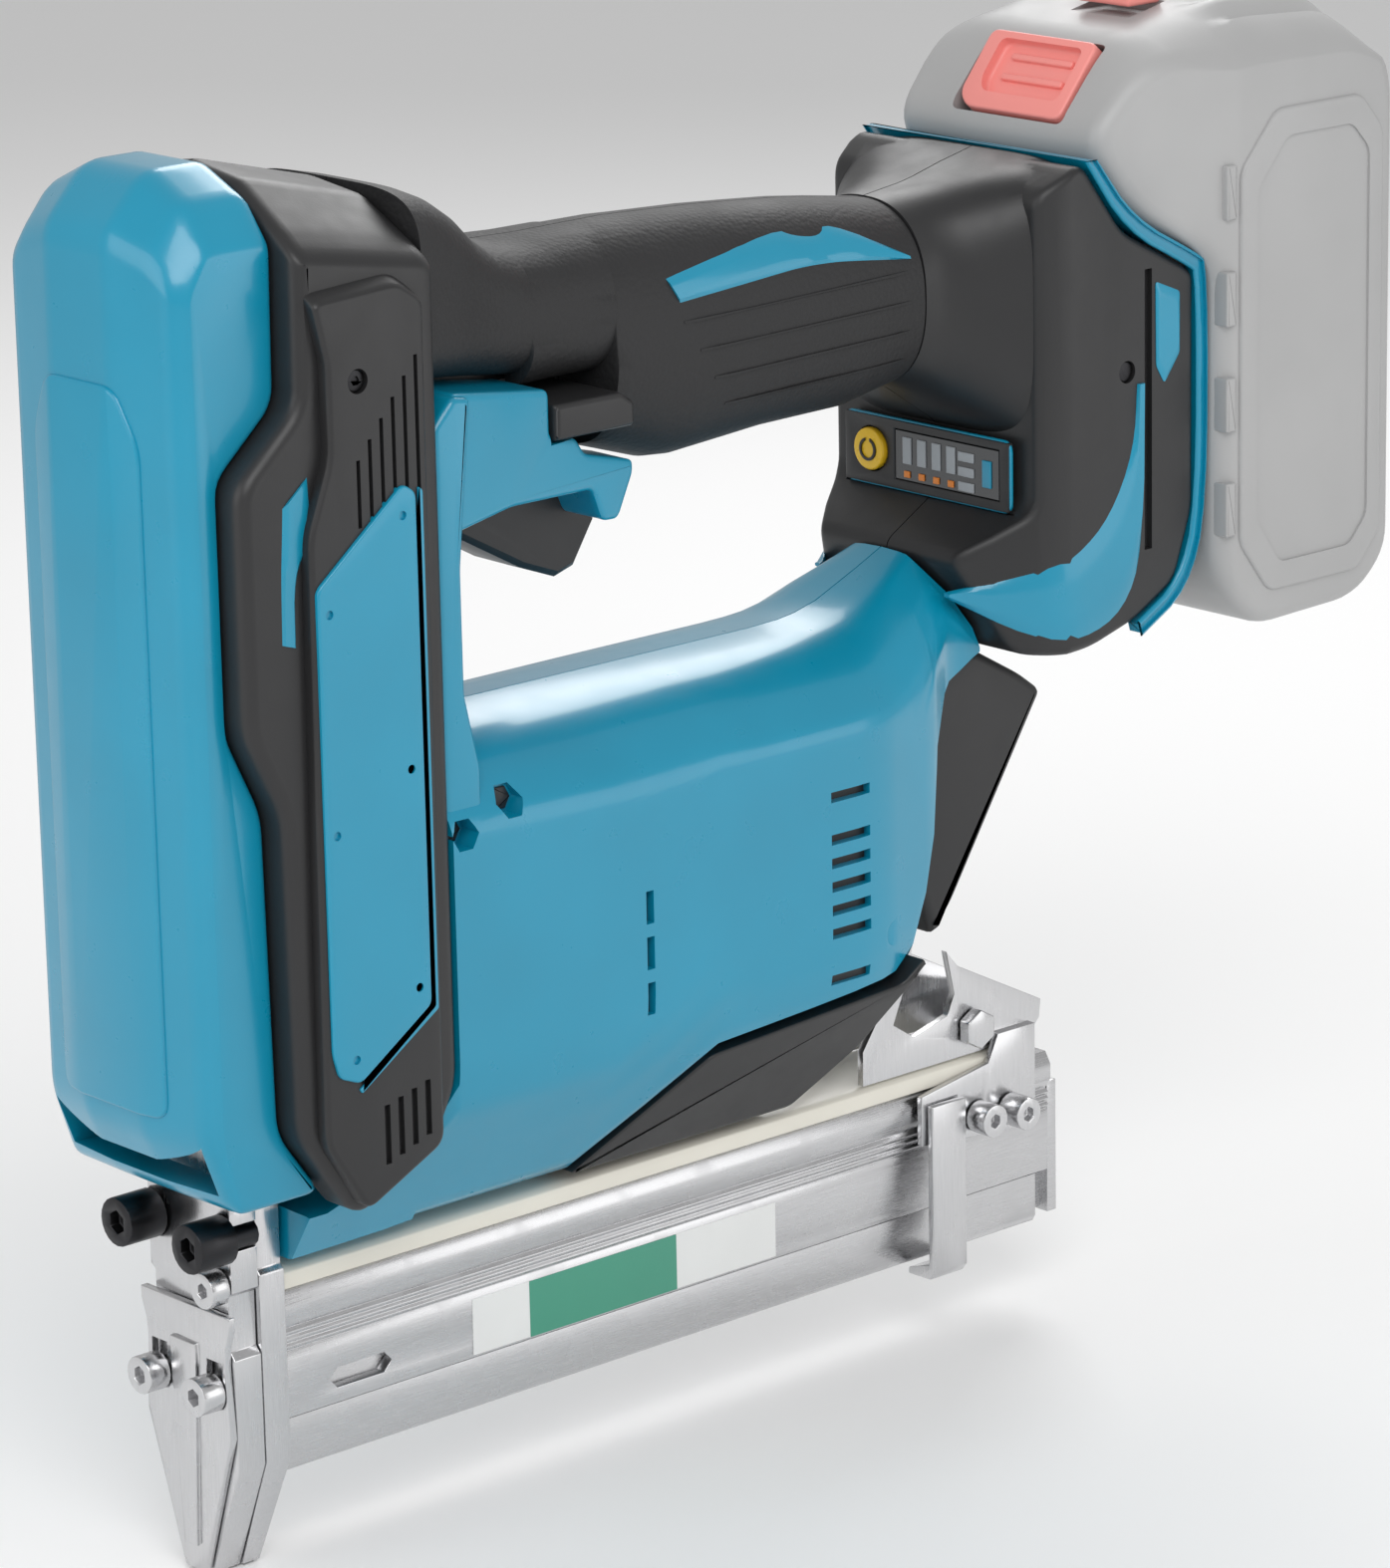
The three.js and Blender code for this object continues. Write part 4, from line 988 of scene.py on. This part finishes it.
class NAILER_OT_battery(bpy.types.Operator):
    """Slide-on battery with side panels, catches, release button and gauge button."""

    bl_idname = "nailer.battery"
    bl_label = "Battery"

    def execute(self, context):
        edge = context.scene.nailer_sizes.battery_edge
        side = [
            (214.5, 259), (232, 280), (258, 286), (288, 283.5), (300, 266), (300, 160), (290, 151),
            (257, 150), (246.4, 162), (246.4, 231.4), (226, 243),
        ]
        case = pad("battery_shell", side, -37.5, 37.5, edge, 7.0, middle=60, limit=crowned,
                   slices=[(0, x) for x in BATTERY_PLAN[0]])
        opening = [(-18.4, 0.2), (14.4, 0.2), (14.4, 20.6), (-18.4, 20.6)]
        pocket = pad("pocket", opening, -6, 5.6, 0, 2.0, "x", limit=on_slant)
        cut(case, [pocket, block("gauge", (243.5, -12.5, 280.5), (254.5, 4.5, 290), 0)])
        for_node(case, "battery_case")

        panel = [
            (251, 170), (260, 158), (288, 158), (295, 166), (295, 254), (288, 262), (262, 262), (251, 250),
        ]
        left = pad("left_battery_panel", panel, -38.4, -36.5, (0.8, 0), 2.5)
        cut(left, [pad("sunk", [(256, 174), (263, 164), (285, 164), (290.5, 170), (290.5, 250), (285, 256),
                                (265, 256), (256, 246)], OUTSIDE, -37.9, 0, 2.0)])
        both_sides(left, "battery_panel", "battery", "battery_grey")
        for i in range(BATTERY_CATCHES):
            z = 172 + 22.7 * i
            catch = block(f"left_battery_catch_{i + 1}", (246.8, -38.2, z), (249.8, -34, z + 11.6), 0.5)
            both_sides(catch, f"battery_catch_{i + 1}", "battery", "battery_grey")

        button = [(-17.4, 0.9), (10, 0.9), (13.6, 4), (13.6, 19.9), (-17.4, 19.9)]
        release = pad("release_scoop", button, -0.4, 3.2, (0.6, 0.2), 2.4, "x", limit=on_slant)
        hollow = [(-14.5, 5), (7.5, 5), (9.5, 8), (9.5, 18), (-14.5, 18)]
        scoop = pad("scoop", hollow, -8, 2.0, (0, 0.9), 2.0, "x", limit=on_slant)
        cut(release, [scoop])
        for_node(release, "battery_release")
        for i in range(RELEASE_RIBS):
            low, high = 9 + 5 * i, 10.6 + 5 * i
            line = [(-12, low), (6, low), (6, high), (-12, high)]
            bar = pad(f"release_rib_{i + 1}", line, 1.0, 2.3, (0.5, 0), 0.7, "x", limit=on_slant)
            place(bar, LOOKS["release_pink"], "battery_release")
        gauge = block("gauge_key", (244, -12, 282.6), (254, 4, 286.2), 1.0, "z")
        for_node(gauge, "gauge_button")
        return {"FINISHED"}


# Controls, nose and magazine ---


class NAILER_OT_controls(bpy.types.Operator):
    """Trigger and the lock bar above it."""

    bl_idname = "nailer.controls"
    bl_label = "Trigger and lock"

    def execute(self, context):
        for node, width in (("trigger", 1.4), ("lock_lever", 0.7)):
            softened(node, width, 3)
        return {"FINISHED"}


class NAILER_OT_nose(bpy.types.Operator):
    """Nose plates and their screws."""

    bl_idname = "nailer.nose"
    bl_label = "Nose"

    def execute(self, context):
        width = context.scene.nailer_sizes.metal_edge
        for node in (
            "nose_middle_plate", "nose_back_plate", "nose_front_plate", "lock_screw",
            "left_frame_screw", "right_frame_screw", "left_nose_screw", "right_nose_screw",
        ):
            softened(node, width)
        return {"FINISHED"}


class NAILER_OT_magazine(bpy.types.Operator):
    """Magazine rails and body, latch, rear bracket and a blank two-tone label."""

    bl_idname = "nailer.magazine"
    bl_label = "Magazine"

    def execute(self, context):
        width = context.scene.nailer_sizes.metal_edge
        for node in (
            "magazine_top_rail", "magazine_body", "magazine_rail", "latch_clip", "latch_front_screw",
            "latch_rear_screw", "rear_bracket", "bracket_bolt",
        ):
            softened(node, width)
        label = block("label_plate", (57, -9.75, 30.6), (140, -9.3, 42.6), 0.1)
        place(label, LOOKS["label_white"], "tool")
        field = block("label_colour", (72, -9.9, 30.6), (112, -9.6, 42.6), 0.1)
        place(field, LOOKS["label_green"], "tool")
        return {"FINISHED"}


class NAILER_OT_inside(bpy.types.Operator):
    """Finishes for every frame node that keeps its own shape."""

    bl_idname = "nailer.inside"
    bl_label = "Inner parts"

    def execute(self, context):
        for name, node in frame["nodes"].items():
            node.data.materials.clear()
            node.data.materials.append(LOOKS[SLOT_OF[name]])
        return {"FINISHED"}


# Stage (lengths in metres) ---

CAMERA_PLACE = (-0.7111, -0.9430, 0.4875)
CAMERA_TURN = tuple(math.radians(angle) for angle in (41.68, 15.63, -1.15))
CAMERA_LENS = 146.1
FLOOR_REACH = 6.0
FLOOR_LEVEL = -0.0005
WORLD_LIGHT = 0.52
LIGHT_AIM = (0.14, 0, 0.15)
LIGHTS = (
    ("key", (-0.5, -0.9, 1.1), (0.8, 0.8), 8),
    ("front_fill", (-1.2, 0.1, 0.6), (0.9, 0.9), 4),
    ("rear_rim", (0.9, 0.6, 0.9), (0.6, 0.6), 5),
    ("side_fill", (0.8, -1.1, 0.35), (0.9, 0.7), 2.5),
)


def camera_matrix():
    """Columns are the camera's right, up and backward directions, from its bearing, height and roll."""
    bearing, rise, roll = CAMERA_TURN
    level = math.cos(rise)
    back = np.array([-math.sin(bearing) * level, -math.cos(bearing) * level, math.sin(rise)])
    right = np.array([math.cos(bearing), -math.sin(bearing), 0.0])
    up = np.cross(back, right)
    turned_right = math.cos(roll) * right + math.sin(roll) * up
    turned_up = -math.sin(roll) * right + math.cos(roll) * up
    matrix = np.eye(4)
    matrix[:3, :4] = np.column_stack([turned_right, turned_up, back, CAMERA_PLACE])
    return matrix


def area_light(name, place_at, size, power):
    light = bpy.data.lights.new(name, "AREA")
    light.shape = "RECTANGLE"
    light.size, light.size_y = size
    light.energy = power
    lamp = bpy.data.objects.new(name, light)
    bpy.context.scene.collection.objects.link(lamp)
    direction = np.asarray(LIGHT_AIM, float) - np.asarray(place_at, float)
    lamp.location = place_at
    lamp.rotation_euler = Vector(direction).to_track_quat("-Z", "Y").to_euler()


class NAILER_OT_stage(bpy.types.Operator):
    """Pale floor, soft studio light and the camera."""

    bl_idname = "nailer.stage"
    bl_label = "Stage"

    def execute(self, context):
        scene = context.scene
        floor = bpy.data.meshes.new("floor")
        turns = ((-1, -1), (1, -1), (1, 1), (-1, 1))
        corners = [(x * FLOOR_REACH, y * FLOOR_REACH, FLOOR_LEVEL) for x, y in turns]
        floor.from_pydata(corners, [], [(0, 1, 2, 3)])
        ground = bpy.data.objects.new("floor", floor)
        ground.data.materials.append(studio_floor("floor_paper"))
        scene.collection.objects.link(ground)
        for name, place_at, size, power in LIGHTS:
            area_light(name, place_at, size, power)
        world = bpy.data.worlds.new("studio")
        world.use_nodes = True
        background = world.node_tree.nodes["Background"].inputs
        background[0].default_value = (1, 1, 1, 1)
        background[1].default_value = WORLD_LIGHT
        scene.world = world
        scene.view_settings.view_transform = "Standard"
        lens = bpy.data.cameras.new("camera")
        lens.sensor_width = 36
        lens.lens = CAMERA_LENS
        lens.clip_start = 0.05
        camera = bpy.data.objects.new("camera", lens)
        scene.collection.objects.link(camera)
        camera.matrix_world = camera_matrix().T.tolist()
        scene.camera = camera
        return {"FINISHED"}


class NAILER_PT_panel(bpy.types.Panel):
    """Lists the operators and the settings."""

    bl_label = "Brad nailer"
    bl_idname = "NAILER_PT_panel"
    bl_space_type = "VIEW_3D"
    bl_region_type = "UI"
    bl_category = "Nailer"

    def draw(self, context):
        for operator in OPERATORS:
            self.layout.operator(operator.bl_idname)
        for group in (context.scene.nailer_sizes, context.scene.nailer_colours):
            for name in group.bl_rna.properties.keys():
                if name not in ("rna_type", "name"):
                    self.layout.prop(group, name)


OPERATORS = (
    NAILER_OT_stage, NAILER_OT_inside, NAILER_OT_head, NAILER_OT_housing, NAILER_OT_grip, NAILER_OT_base,
    NAILER_OT_panel, NAILER_OT_battery, NAILER_OT_controls, NAILER_OT_nose, NAILER_OT_magazine,
)
CLASSES = (NailerSizes, NailerColours, *OPERATORS, NAILER_PT_panel)


def register():
    for item in CLASSES:
        bpy.utils.register_class(item)
    bpy.types.Scene.nailer_sizes = bpy.props.PointerProperty(type=NailerSizes)
    bpy.types.Scene.nailer_colours = bpy.props.PointerProperty(type=NailerColours)


def unregister():
    del bpy.types.Scene.nailer_colours
    del bpy.types.Scene.nailer_sizes
    for item in reversed(CLASSES):
        bpy.utils.unregister_class(item)


def main():
    register()
    LOOKS.update(finishes())
    for operator in OPERATORS:
        getattr(bpy.ops.nailer, operator.bl_idname.split(".")[1])()


if __name__ == "__main__":
    main()
